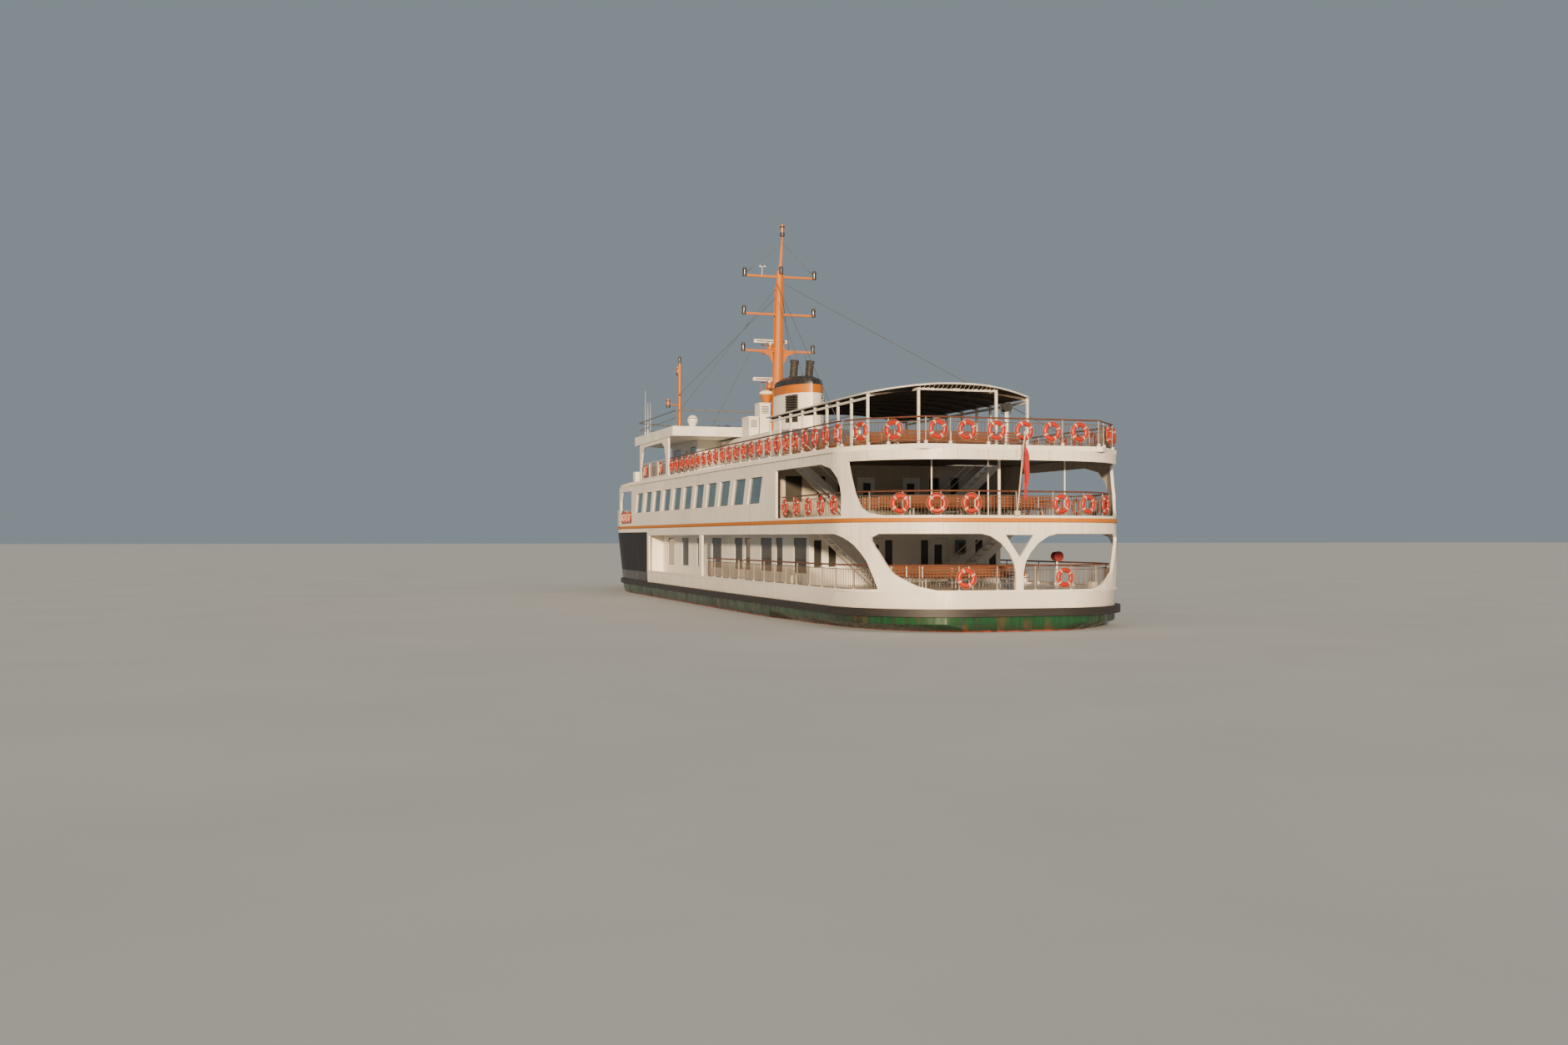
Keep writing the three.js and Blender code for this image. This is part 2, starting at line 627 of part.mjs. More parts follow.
// A bulkhead across the ship with windows and two door openings; columns: half width of opening, centre.
function bulkhead(x, half, low, high, windows, doors, sill) {
  const wall = block([x, x + house.wall], [-half, half], [low, high]);
  const holes = windows.map(([centre, width]) =>
    block([x - 1, x + 1], [centre - width / 2, centre + width / 2], [sill, sill + 1.2]),
  );
  for (const y of doors) {
    const doorHeights = [low + 0.08, low + 0.08 + doorHeight];
    holes.push(block([x - 1, x + 1], [y, y + Math.sign(y) * doorWidth], doorHeights));
  }
  return cut(wall, holes);
}

// A door whose hinge pin stands on the jamb's aft face; y is the hinge jamb and the door runs outboard.
function bulkheadDoor(x, y, low) {
  const side = Math.sign(y);
  const clear = 0.012;
  const bottom = low + 0.08 + clear;
  const top = low + 0.08 + doorHeight - clear;
  const leaf = block([x, x + 0.05], [y + side * clear, y + side * (doorWidth - clear)], [bottom, top]);
  const pane = block([x - 1, x + 1], [y + side * 0.21, y + side * 0.59], [bottom + 0.8, bottom + 1.7]);
  const pinX = x - 0.02 - gap;
  const hinges = [bottom + 0.25, top - 0.25].flatMap((z) => [
    bar([pinX, y, z - 0.07], [pinX, y, z + 0.07], 0.02, 8),
    block([x - 0.03, x + 0.01], [y + side * clear, y + side * 0.18], [z - 0.05, z + 0.05]),
    block([x - 0.03, x - 0.014], [y, y + side * 0.05], [z - 0.05, z + 0.05]),
  ]);
  const handleWidth = [y + side * 0.76, y + side * 0.82];
  const handle = block([x - 0.06, x + 0.01], handleWidth, [bottom + 0.9, bottom + 1.1]);
  return join([leaf.subtract(pane), ...hinges, handle]);
}

const bulkheads = [
  {
    name: "main_aft_bulkhead",
    x: house.from - house.wall - gap,
    half: house.half,
    low: mainLow,
    high: mainHigh,
    sill: 2.3,
    door: 1.15,
    windows: [[0.88, 0.36], [3.6, 0.36], [4.29, 0.36]],
  },
  {
    name: "upper_aft_bulkhead",
    x: 13.5,
    half: 5.96,
    low: upperLow,
    high: upperHigh,
    sill: 5.25,
    door: 0.7,
    windows: [[2.3, 0.5], [3.36, 0.42], [4.7, 0.8]],
  },
];
for (const wall of bulkheads) {
  const windows = wall.windows.flatMap(([centre, width]) => [[centre, width], [-centre, width]]);
  const doors = [wall.door, -wall.door];
  const body = bulkhead(wall.x, wall.half, wall.low, wall.high, windows, doors, wall.sill);
  addNode(wall.name, body, finish.white);
  for (const [name, side] of [["port", 1], ["starboard", -1]]) {
    const label = wall.name.split("_")[0] + "_door_" + name;
    addNode(label, bulkheadDoor(wall.x, side * wall.door, wall.low), finish.white);
  }
}
const frontBulkheadX = 43.3;
const frontWindows = [-4, -2.4, -0.8, 0.8, 2.4, 4].map((centre) => [centre, 1.1]);
const frontHalf = halfBreadth(frontBulkheadX) - plate - 0.02;
addNode(
  "upper_front_bulkhead",
  bulkhead(frontBulkheadX, frontHalf, upperLow, upperHigh, frontWindows, [], 5.3),
  finish.white,
);

// Bow bulwark on the raised foredeck.
const bulwarkTop = 5.5;
const bulwarkEnd = stemReach - 0.25;
const bulwarkFrom = reachAt(upperFrontX) + gap;
const bulwarkSides = [1, -1].map((side) => {
  const stations = [[bulwarkFrom, upperLow, bulwarkTop], [bulwarkEnd, upperLow, bulwarkTop]];
  return ribbon(side > 0 ? stations : mirrored(stations), -plate, 0);
});
const stemPost = block([59.55, 59.95], [-0.3, 0.3], [upperLow, bulwarkTop]);
addNode("bow_bulwark", join([...bulwarkSides, stemPost]), finish.white);

// Wheelhouse: a hollow house with slanting front windows, a door on each side, wings with arched screens.
const bridge = {
  aft: 36,
  front: 43.6,
  half: 3.4,
  wall: 0.08,
  low: level.sun + gap,
  high: level.bridgeUnder - gap,
};
const bridgePlan = [
  [bridge.aft, -bridge.half], [bridge.front - 1.2, -bridge.half], [bridge.front, -bridge.half + 1.5],
  [bridge.front, bridge.half - 1.5], [bridge.front - 1.2, bridge.half], [bridge.aft, bridge.half],
];
const insetPlan = bridgePlan.map(([x, y]) => [
  x === bridge.aft ? x + bridge.wall : x - bridge.wall,
  y - Math.sign(y) * bridge.wall,
]);
const bridgeShell = planPrism(bridgePlan, bridge.low, bridge.high)
  .subtract(planPrism(insetPlan, bridge.low - 1, bridge.high + 1));
const bridgeDoorX = 38.2;
const bridgeHoles = [];
for (let place = -2; place <= 2; place++) {
  const y = place * 0.74;
  bridgeHoles.push(block([bridge.front - 0.3, bridge.front + 1], [y - 0.31, y + 0.31], [8.2, 9.15]));
}
for (const side of [1, -1]) {
  const [inner, outer] = [side * (bridge.half - 0.5), side * (bridge.half + 0.5)];
  bridgeHoles.push(block([bridgeDoorX, bridgeDoorX + doorWidth], [inner, outer], [bridge.low + 0.08, 9.28]));
  bridgeHoles.push(block([40.0, 41.8], [inner, outer], [8.2, 9.15]));
  bridgeHoles.push(block([36.4, 37.6], [inner, outer], [8.2, 9.15]));
}
addNode("wheelhouse", cut(bridgeShell, bridgeHoles), finish.white);
for (const [name, side] of [["port", 1], ["starboard", -1]]) {
  const upright = bulkheadDoor(0, 1, bridge.low);
  const turnedDoor = upright.translate([0, -1, 0]).rotate([0, 0, -90]);
  const placed = side > 0 ? turnedDoor : turnedDoor.mirror([0, 1, 0]);
  addNode(
    "wheelhouse_door_" + name,
    placed.translate([bridgeDoorX, side * bridge.half, 0]),
    finish.white,
  );
}

// Wing screens: the outer walls below the bridge roof, each with one arched opening.
const wing = { from: reachAt(33.8), to: reachAt(42.2) };
for (const [name, side] of [["port", 1], ["starboard", -1]]) {
  const turned = (stations) => (side > 0 ? stations : mirrored(stations));
  const wingStations = [[wing.from, bridge.low, bridge.high], [wing.to, bridge.low, bridge.high]];
  const wall = ribbon(turned(wingStations), -0.2, -0.1);
  const arch = [
    [wing.from + 0.7, 7.35, 8.3],
    [wing.from + 1.1, 7.35, 9.0],
    [wing.from + 1.9, 7.35, 9.28],
    [wing.to - 1.6, 7.35, 9.28],
    [wing.to - 0.8, 7.35, 9.0],
    [wing.to - 0.4, 7.35, 8.3],
  ];
  const railEnds = [wing.from + 0.5, wing.to - 0.3].map((s) => side * s).sort((a, b) => a - b);
  const railRings = [wing.from + 2, wing.to - 2].map((s) => side * s);
  const wingRail = deckRail(...railEnds, level.sun, 0.15, railRings);
  addNode("wing_screen_" + name, cut(wall, [opening(turned(arch))]).add(wingRail), finish.white);
}

const roofPlan = [
  [32.4, -5.8], [43.4, -5.6], [45, -3.2], [45.2, 0], [45, 3.2], [43.4, 5.6], [32.4, 5.8],
];
const roofPieces = [planPrism(roofPlan, level.bridgeUnder, level.bridgeRoof)];
const roofRailPlan = [
  [32.6, -5.55], [43.2, -5.35], [44.8, -3.1], [45.0, 0], [44.8, 3.1], [43.2, 5.35], [32.6, 5.55],
];
for (let side = 0; side < roofRailPlan.length; side++) {
  const [[x0, y0], [x1, y1]] = [roofRailPlan[side], roofRailPlan[(side + 1) % roofRailPlan.length]];
  for (const [height, radius] of [[0.93, 0.035], [0.48, 0.02]]) {
    const z = level.bridgeRoof + height;
    roofPieces.push(bar([x0, y0, z], [x1, y1, z], radius));
  }
  roofPieces.push(bar([x0, y0, level.bridgeRoof - 0.1], [x0, y0, level.bridgeRoof + 0.95], 0.025));
}
roofPieces.push(solid(new THREE.SphereGeometry(0.32, 10, 8).translate(40, 2.65, 11.0)));
roofPieces.push(bar([40, 2.65, level.bridgeRoof - 0.1], [40, 2.65, 10.9], 0.06));
addNode("bridge_roof", join(roofPieces), finish.white);

// Officers' house behind the wheelhouse, carrying the funnel and the main mast.
const officers = { x: [23.6, bridge.aft - gap], half: 1.95, low: bridge.low, high: 9.4 };
const officersShell = block(officers.x, [-officers.half, officers.half], [officers.low, officers.high]);
const officersInside = officers.half - 0.08;
const officersRoom = block(
  [officers.x[0] + 0.08, officers.x[1] + 1],
  [-officersInside, officersInside],
  [officers.low - 1, officers.high - 0.1],
);
const officersWindows = [];
for (let place = 0; place < 6; place++) {
  const x = 24.6 + place * 1.8;
  officersWindows.push(block([x, x + 0.7], [-3, 3], [8.1, 8.9]));
}
const ventTrunks = [1, -1].flatMap((side) => [
  block([30.2, 31.2], [side * 0.6, side * 1.22], [officers.high - 0.05, 11.3]),
  block([30.1, 31.5], [side * 1.32, side * 1.9], [officers.high - 0.05, 10.5]),
]);
const officersHouse = cut(officersShell, [officersRoom, ...officersWindows]);
addNode("officers_house", join([officersHouse, ...ventTrunks]), finish.white);

const funnel = { x: 27, half: 1.2, run: 2.5, low: officers.high + gap, high: 11.9 };
function ovalRing(z, scale) {
  const points = [];
  for (let corner = 0; corner < 16; corner++) {
    const turn = (corner / 16) * 2 * Math.PI;
    points.push([funnel.x + funnel.run * scale * Math.cos(turn), funnel.half * scale * Math.sin(turn), z]);
  }
  return points;
}
const funnelBody = loft([
  ovalRing(funnel.low, 1),
  ovalRing(funnel.high, 1),
  ovalRing(12.2, 0.94),
  ovalRing(12.4, 0.7),
  ovalRing(12.45, 0.4),
]);
const louvrePlan = [[25.01, 0.62], [25.86, 0.96], [25.6, 1.64], [24.75, 1.3]];
const louvre = [louvrePlan, louvrePlan.map(([x, y]) => [x, -y])].map((plan) => planPrism(plan, 9.85, 11.36));
const exhausts = [0.45, -0.45].map((y) => bar([26.6, y, 12.0], [26.2, y, 13.3], 0.2, 12));
addNode("funnel", join([cut(funnelBody, louvre), ...exhausts]), finish.white);

// Main mast: raked, with three yards, platforms for the two radar scanners and a topmast.
const mast = { foot: [30.9, 0, officers.high + 0.1], head: [30.3, 0, 18.9] };
const yards = [14.35, 16.45, 18.6];
const mastPieces = [
  bar(mast.foot, mast.head, 0.36, 10, 0.2),
  block([30.45, 31.35], [-0.45, 0.45], [officers.high + gap, officers.high + 0.15]),
  bar([30.25, 0.01, 18.7], [29.8, 0.01, 20.9], 0.12, 8, 0.05),
  bar([29.79, 0.01, 20.84], [29.79, 0.01, 21.5], 0.12, 8),
];
for (const z of yards) {
  const x = mast.foot[0] - ((z - mast.foot[2]) / 9.6) * 0.6;
  mastPieces.push(block([x - 0.05, x + 0.06], [-2.2, 2.2], [z - 0.06, z + 0.06]));
  for (const y of [-2.1, 2.1]) mastPieces.push(bar([x, y, z - 0.05], [x, y, z + 0.42], 0.1));
}
const radars = [{ name: "upper", z: 14.5, x: 32.1 }, { name: "lower", z: 12.3, x: 32.3 }];
for (const radar of radars) {
  mastPieces.push(block([30.45, radar.x + 0.4], [-0.38, 0.4], [radar.z - 0.1, radar.z]));
  mastPieces.push(bar([30.6, 0, radar.z - 1], [radar.x + 0.2, 0.01, radar.z - 0.04], 0.08, 5));
  mastPieces.push(bar([radar.x, 0, radar.z - 0.03], [radar.x, 0, radar.z + 0.4], 0.2, 10, 0.15));
  const pivot = bar([radar.x, 0, radar.z + 0.4 + gap], [radar.x, 0, radar.z + 0.55], 0.08, 10);
  const scanner = block([radar.x - 0.12, radar.x + 0.12], [-1.0, 1.0], [radar.z + 0.5, radar.z + 0.7]);
  addNode("radar_" + radar.name, pivot.add(scanner), finish.white);
}
addNode("main_mast", join(mastPieces), finish.orange);

// Foremast on the foredeck with its lamps and a lamp bracket.
const foremast = [
  bar([54, 0, upperLow], [54, 0, 16.2], 0.17, 10, 0.1),
  bar([54, 0, 13.2], [54, 0.9, 13.2], 0.05),
  bar([54, 0.85, 13.0], [54, 0.85, 13.6], 0.14, 8),
  bar([54, 0, 15.6], [54.5, 0, 15.6], 0.05),
  bar([54.45, 0, 15.4], [54.45, 0, 16.0], 0.14, 8),
];
addNode("foremast", join(foremast), finish.orange);

// Canopy: an arched roof over the sun deck benches on a frame of posts and bows.
const canopy = { from: 5.5, to: 20.6, half: 3.8, rise: 0.4, thick: 0.06, low: level.canopy };
function archHeight(y) {
  return canopy.low + canopy.rise * (1 - (y / canopy.half) ** 2);
}
const archYs = [-1, -0.66, -0.33, 0, 0.33, 0.66, 1].map((share) => share * canopy.half);
const archOver = archYs.map((y) => [y, archHeight(y) + canopy.thick]);
const archUnder = archYs.map((y) => [y, archHeight(y)]).reverse();
const canopyCorner = [[5, 1], [5.5, 1], [5.7, 1.9], [6.1, 2.9], [6.6, 3.85], [5, 3.85]];
const canopyPlans = [canopyCorner, canopyCorner.map(([x, y]) => [x, -y])];
const canopyCorners = canopyPlans.map((plan) => planPrism(plan, 9, 11));
const canopyArch = crossPrism([...archOver, ...archUnder], canopy.from, canopy.to);
addNode("canopy", cut(canopyArch, canopyCorners), finish.white);
const halfPost = 3.7;
const frames = [6.65, 8.6, 10.3, 11.75, 13.4, 15.2, 17, 18.7, 20.3];
const framePieces = [];
const bowYs = archYs.slice(1, -1);
const postTop = level.canopy + 0.005;
const bowOver = bowYs.map((y) => [y, archHeight(y) - gap]);
const bowUnder = bowYs.map((y) => [y, archHeight(y) - 0.12]).reverse();
const [postOuter, postInner] = [halfPost + 0.05, halfPost - 0.05];
const frameOutline = [
  [-postOuter, bridge.low],
  [-postOuter, postTop],
  ...bowOver,
  [postOuter, postTop],
  [postOuter, bridge.low],
  [postInner, bridge.low],
  [postInner, postTop - 0.1],
  ...bowUnder,
  [-postInner, postTop - 0.1],
  [-postInner, bridge.low],
];
for (const x of frames) framePieces.push(crossPrism(frameOutline, x - 0.05, x + 0.05));
for (const y of [-halfPost, halfPost]) {
  const beamHeights = [postTop - 0.21, postTop - 0.11];
  framePieces.push(block([frames[0], frames[frames.length - 1]], [y - 0.04, y + 0.04], beamHeights));
}
for (const y of [-1.78, 1.78]) {
  framePieces.push(block([5.7, 5.8], [y - 0.05, y + 0.05], [bridge.low, 9.87]));
  framePieces.push(block([5.72, frames[0]], [y - 0.03, y + 0.03], [9.78, 9.88]));
}
framePieces.push(block([5.72, 5.78], [-1.8, 1.8], [9.79, 9.85]));
addNode("canopy_frame", join(framePieces), finish.white);

// Rails of the promenades and the sun deck; a gap between spans takes a boarding gate.
const gate = { from: 22.0, to: 22.95 };
const upperRings = spread(8.9, 15.3, 5);
const rails = [
  {
    name: "sun_rail_port",
    spans: [[7.9, 37.6]],
    base: level.sun,
    inset: 0.12,
    rings: spread(8.1, 36.8, 23),
  },
  {
    name: "sun_rail_starboard",
    spans: [[-37.6, -7.9]],
    base: level.sun,
    inset: 0.12,
    rings: spread(-36.8, -8.1, 23),
  },
  {
    name: "upper_rail",
    spans: [[-15.95, 15.95]],
    base: level.upper,
    inset: 0.3,
    rings: [4.86, 3.35, 1.94, -1.94, -3.35, -4.86, ...upperRings, ...upperRings.map((s) => -s)],
  },
  {
    name: "main_rail",
    spans: [[-29.2, -gate.to], [-gate.from, gate.from], [gate.to, 29.2]],
    base: level.main,
    inset: 0.3,
    rings: [2.16, -2.08],
  },
];
for (const rail of rails) {
  const pieces = rail.spans.map(([from, to], place) => {
    const rings = place === (rail.spans.length - 1) / 2 ? rail.rings : [];
    return deckRail(from, to, rail.base, rail.inset, rings);
  });
  for (let place = 1; place < rail.spans.length; place++) {
    const [from, to] = [rail.spans[place - 1][1] - 0.05, rail.spans[place][0] + 0.05];
    const [low, high] = [rail.base + gap, rail.base + 0.03];
    pieces.push(ribbon([[from, low, high], [to, low, high]], -rail.inset - 0.03, -rail.inset + 0.03));
  }
  addNode(rail.name, join(pieces), finish.ring);
}

// The sun deck's stern rail keeps to the deck's straight facets, inside its edge.
const sunSternRings = [3.24, 2.02, 0.78, -0.4, -1.6, -2.81];
const sternRailPieces = [];
const facets = [[3.62, -5.84], [2.3, -5.35], [0.5, -3.7], [0.5, 3.7], [2.3, 5.35], [3.62, 5.84]];
for (let facet = 0; facet < facets.length - 1; facet++) {
  const [[x0, y0], [x1, y1]] = [facets[facet], facets[facet + 1]];
  for (const [height, radius] of [[railHeight - 0.03, 0.032], [ringCentre + 0.27, 0.02]]) {
    const z = level.sun + height;
    sternRailPieces.push(bar([x0, y0, z], [x1, y1, z], radius));
  }
}
for (const [x, y] of [...facets, ...spread(-2.5, 2.5, 4).map((value) => [0.5, value])]) {
  const postHeights = [bridge.low, level.sun + railHeight - 0.01];
  sternRailPieces.push(block([x - 0.03, x + 0.03], [y - 0.03, y + 0.03], postHeights));
}
for (const y of sunSternRings) {
  const ring = new THREE.TorusGeometry(0.29, 0.085, 3, 8).rotateX(Math.PI / 2).rotateZ(Math.PI / 2);
  sternRailPieces.push(solid(ring.translate(0.42, y, level.sun + 0.56)));
}
for (const [x, y, turn] of [[1.418, 4.65, 42.5], [2.58, 5.54, 20.4]]) {
  for (const side of [1, -1]) {
    const ring = new THREE.TorusGeometry(0.29, 0.085, 3, 8).rotateX(Math.PI / 2);
    ring.rotateZ((side * turn * Math.PI) / 180);
    sternRailPieces.push(solid(ring.translate(x, side * y, level.sun + 0.56)));
  }
}
addNode("sun_rail_stern", join(sternRailPieces), finish.ring);

// Boarding gates: a hinged panel in the main deck rail on each side.
for (const [name, side] of [["port", 1], ["starboard", -1]]) {
  const [x0, y] = edgePoint(side * gate.from, -0.3);
  const [x1] = edgePoint(side * gate.to, -0.3);
  const hingeX = x0 + gap + 0.025;
  const top = level.main + railHeight;
  const bottom = level.main + 0.1;
  const pieces = [bar([hingeX, y, bottom], [hingeX, y, top - 0.02], 0.025, 8)];
  for (const z of [top - 0.06, level.main + 0.6, bottom + 0.06]) {
    pieces.push(block([hingeX, x1 - 0.06], [y - 0.02, y + 0.02], [z - 0.02, z + 0.02]));
  }
  pieces.push(block([x1 - 0.1, x1 - 0.06], [y - 0.02, y + 0.02], [bottom, top - 0.04]));
  addNode("gate_" + name, join(pieces), finish.white);
}

// Benches: rows of seats with backs, each deck's rows standing on two floor runners.
const benchSets = [
  { name: "main_benches", rows: [4.2, 5.9, 7.6], half: 2.6, z: level.main },
  { name: "upper_benches", rows: [3.6, 5.3, 7.0, 8.7], half: 3.6, z: level.upper },
  { name: "sun_benches", rows: [6, 7.5, 9, 10.4, 14.6, 16.2, 17.8, 19.4], half: 3.2, z: level.sun },
];
for (const set of benchSets) {
  const pieces = [];
  for (const x of set.rows) {
    pieces.push(block([x, x + 0.45], [-set.half, set.half], [set.z + 0.4, set.z + 0.45]));
    pieces.push(block([x + 0.43, x + 0.48], [-set.half, set.half], [set.z + 0.4, set.z + 0.9]));
    for (const y of [-0.8, 0.8]) {
      const place = y * set.half;
      pieces.push(block([x + 0.05, x + 0.45], [place - 0.03, place + 0.03], [set.z + gap, set.z + 0.42]));
    }
  }
  for (const y of [-0.8, 0.8]) {
    const place = y * set.half;
    const runnerEnds = [set.rows[0], set.rows[set.rows.length - 1] + 0.45];
    pieces.push(block(runnerEnds, [place - 0.03, place + 0.03], [set.z + gap, set.z + 0.04]));
  }
  addNode(set.name, join(pieces), finish.wood);
}

// Flagstaff on the stern rail's middle, leaning aft, with a plain flag hanging from it.
const staff = { foot: [-0.05, 0.15, upperLow + 0.1], head: [-0.75, 0.15, 7.6] };
const staffShoe = block([-0.12, -gap], [0.05, 0.25], [4.45, 4.65]);
addNode("flagstaff", join([bar(staff.foot, staff.head, 0.03, 8), staffShoe]).subtract(sunDeck), finish.wood);
const staffLean = (staff.head[0] - staff.foot[0]) / (staff.head[2] - staff.foot[2]);
const hoist = (z) => [staff.foot[0] + staffLean * (z - staff.foot[2]) - 0.0318, z];
const flagOutline = [hoist(7.3), hoist(6.3), [-0.62, 5.1], [-1.05, 5.2], [-1.25, 6.9]];
addNode("flag", sidePrism(flagOutline, 0.12, 0.18), finish.red);

ferry.position.set((-ship.length / 2) * modelMillimetresPerMetre, 0, 0);
ferry.scale.setScalar(modelMillimetresPerMetre);
const model = new THREE.Group();
model.add(ferry);

export default model;
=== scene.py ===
import bpy
import math
import random
from mathutils import Matrix, Vector


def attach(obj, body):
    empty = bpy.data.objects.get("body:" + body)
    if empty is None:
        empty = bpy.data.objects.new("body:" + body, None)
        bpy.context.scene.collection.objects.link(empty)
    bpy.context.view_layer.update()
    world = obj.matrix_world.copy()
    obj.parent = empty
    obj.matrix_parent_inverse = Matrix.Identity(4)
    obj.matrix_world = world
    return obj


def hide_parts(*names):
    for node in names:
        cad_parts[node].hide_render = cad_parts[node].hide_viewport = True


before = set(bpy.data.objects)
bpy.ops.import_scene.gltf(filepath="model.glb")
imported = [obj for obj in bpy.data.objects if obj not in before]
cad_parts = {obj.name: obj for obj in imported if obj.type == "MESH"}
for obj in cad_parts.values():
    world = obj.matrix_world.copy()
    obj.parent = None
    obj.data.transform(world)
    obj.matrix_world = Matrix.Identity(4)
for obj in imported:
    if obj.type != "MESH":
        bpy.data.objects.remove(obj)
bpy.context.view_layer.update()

# Camera and studio: the camera stands low off the port quarter, on the ship's model scale,
# where the ferry is seen from astern with its bow away to the left. The pale floor lies at
# the waterline, lit by a low warm lamp from astern, a weak broad one and a pale surround.
camera_data = bpy.data.cameras.new("low_stern_camera")
camera_data.lens = 35
camera_data.sensor_width = 36
camera_data.clip_end = 1000
camera = bpy.data.objects.new("low_stern_camera", camera_data)
camera.location = (-41.5, 13.325, 1.8)
camera.rotation_euler = (math.radians(90.58), 0, math.radians(-107.9))
bpy.context.scene.collection.objects.link(camera)
bpy.context.scene.camera = camera

# Columns: name, strength, angle of softness, tilt and turn in degrees, colour.
lamps = [
    ("low_warm_lamp", 8.2, 4, 81, -112, (1.0, 0.74, 0.47)),
    ("broad_fill_lamp", 0.25, 60, 55, -60, (0.8, 0.88, 1.0)),
]
for name, strength, softness, tilt, turn, colour in lamps:
    lamp_data = bpy.data.lights.new(name, "SUN")
    lamp_data.energy = strength
    lamp_data.angle = math.radians(softness)
    lamp_data.color = colour
    lamp = bpy.data.objects.new(name, lamp_data)
    lamp.rotation_euler = (math.radians(tilt), 0, math.radians(turn))
    bpy.context.scene.collection.objects.link(lamp)
surround = bpy.data.worlds.new("studio_surround")
surround.use_nodes = True
surround.node_tree.nodes["Background"].inputs["Color"].default_value = (0.66, 0.79, 0.86, 1)
surround.node_tree.nodes["Background"].inputs["Strength"].default_value = 0.34
bpy.context.scene.world = surround


class Paint:
    """A procedural material in the making, laid out in the object's own coordinates."""

    def __init__(self, name, roughness=0.5, metallic=0.0):
        self.material = bpy.data.materials.new(name)
        self.material.use_nodes = True
        self.tree = self.material.node_tree
        self.shader = self.tree.nodes["Principled BSDF"]
        self.fixed("Roughness", roughness)
        self.fixed("Metallic", metallic)
        self.place = self.wire("TexCoord").outputs["Object"]

    def fixed(self, socket, value):
        self.shader.inputs[socket].default_value = value

    def wire(self, kind, feeds=None, **settings):
        """Adds a shader node, with a value or another node's socket for each named input."""
        made = self.tree.nodes.new("ShaderNode" + kind)
        for setting, value in settings.items():
            setattr(made, setting, value)
        for socket, value in (feeds or {}).items():
            if isinstance(value, bpy.types.NodeSocket):
                self.tree.links.new(value, made.inputs[socket])
            else:
                made.inputs[socket].default_value = value
        return made

    def axes(self):
        return self.wire("SeparateXYZ", {"Vector": self.place}).outputs

    def facing_up(self):
        normal = self.wire("NewGeometry").outputs["Normal"]
        return self.wire("SeparateXYZ", {"Vector": normal}).outputs["Z"]

    def ramp(self, value, from_low, from_high, to_low=0.0, to_high=1.0):
        limits = {"From Min": from_low, "From Max": from_high, "To Min": to_low, "To Max": to_high}
        return self.wire("MapRange", {"Value": value, **limits}, clamp=True).outputs["Result"]

    def cloud(self, scale, detail=4.0, low=0.3, high=0.7, stretch=None):
        """Noise from 0 to 1, with its contrast set by the low and high limits."""
        place = self.place
        if stretch:
            place = self.wire("Mapping", {"Vector": place, "Scale": stretch}).outputs["Vector"]
        noise = self.wire("TexNoise", {"Vector": place, "Scale": scale, "Detail": detail})
        return self.ramp(noise.outputs["Fac"], low, high)

    def math(self, operation, first, second=0.0):
        return self.wire("Math", {0: first, 1: second}, operation=operation).outputs[0]

    def mix(self, share, first, second):
        """The first colour where the share is 0, the second where it is 1."""
        first, second = [(*tone, 1) if isinstance(tone, tuple) else tone for tone in (first, second)]
        return self.wire("Mix", {0: share, 6: first, 7: second}, data_type="RGBA").outputs[2]

    def colour(self, tone):
        self.tree.links.new(tone, self.shader.inputs["Base Color"])

    def gloss(self, value, low, high):
        spread = self.wire("MapRange", {"Value": value, "To Min": low, "To Max": high})
        self.tree.links.new(spread.outputs["Result"], self.shader.inputs["Roughness"])

    def bump(self, height, strength, distance=0.01):
        bump = self.wire("Bump", {"Height": height, "Strength": strength, "Distance": distance})
        self.tree.links.new(bump.outputs["Normal"], self.shader.inputs["Normal"])


def shaded(colour, share):
    """A colour made darker, to a share of its strength."""
    return tuple(part * share for part in colour)


paint = Paint("pale_floor", 0.9)
floor_finish = paint.material
paint.fixed("Specular IOR Level", 0.1)
paint.colour(paint.mix(paint.cloud(0.3), (0.56, 0.57, 0.57), (0.6, 0.61, 0.61)))
bpy.ops.mesh.primitive_plane_add(size=900)
floor = bpy.context.object
floor.name = "studio_floor"
floor.data.materials.append(floor_finish)

# Shell plating: welded steel in white marine paint. Its seams run up and along the plates, the
# sheets have a slight wave between frames, and rain has drawn rust and grime down from edges.


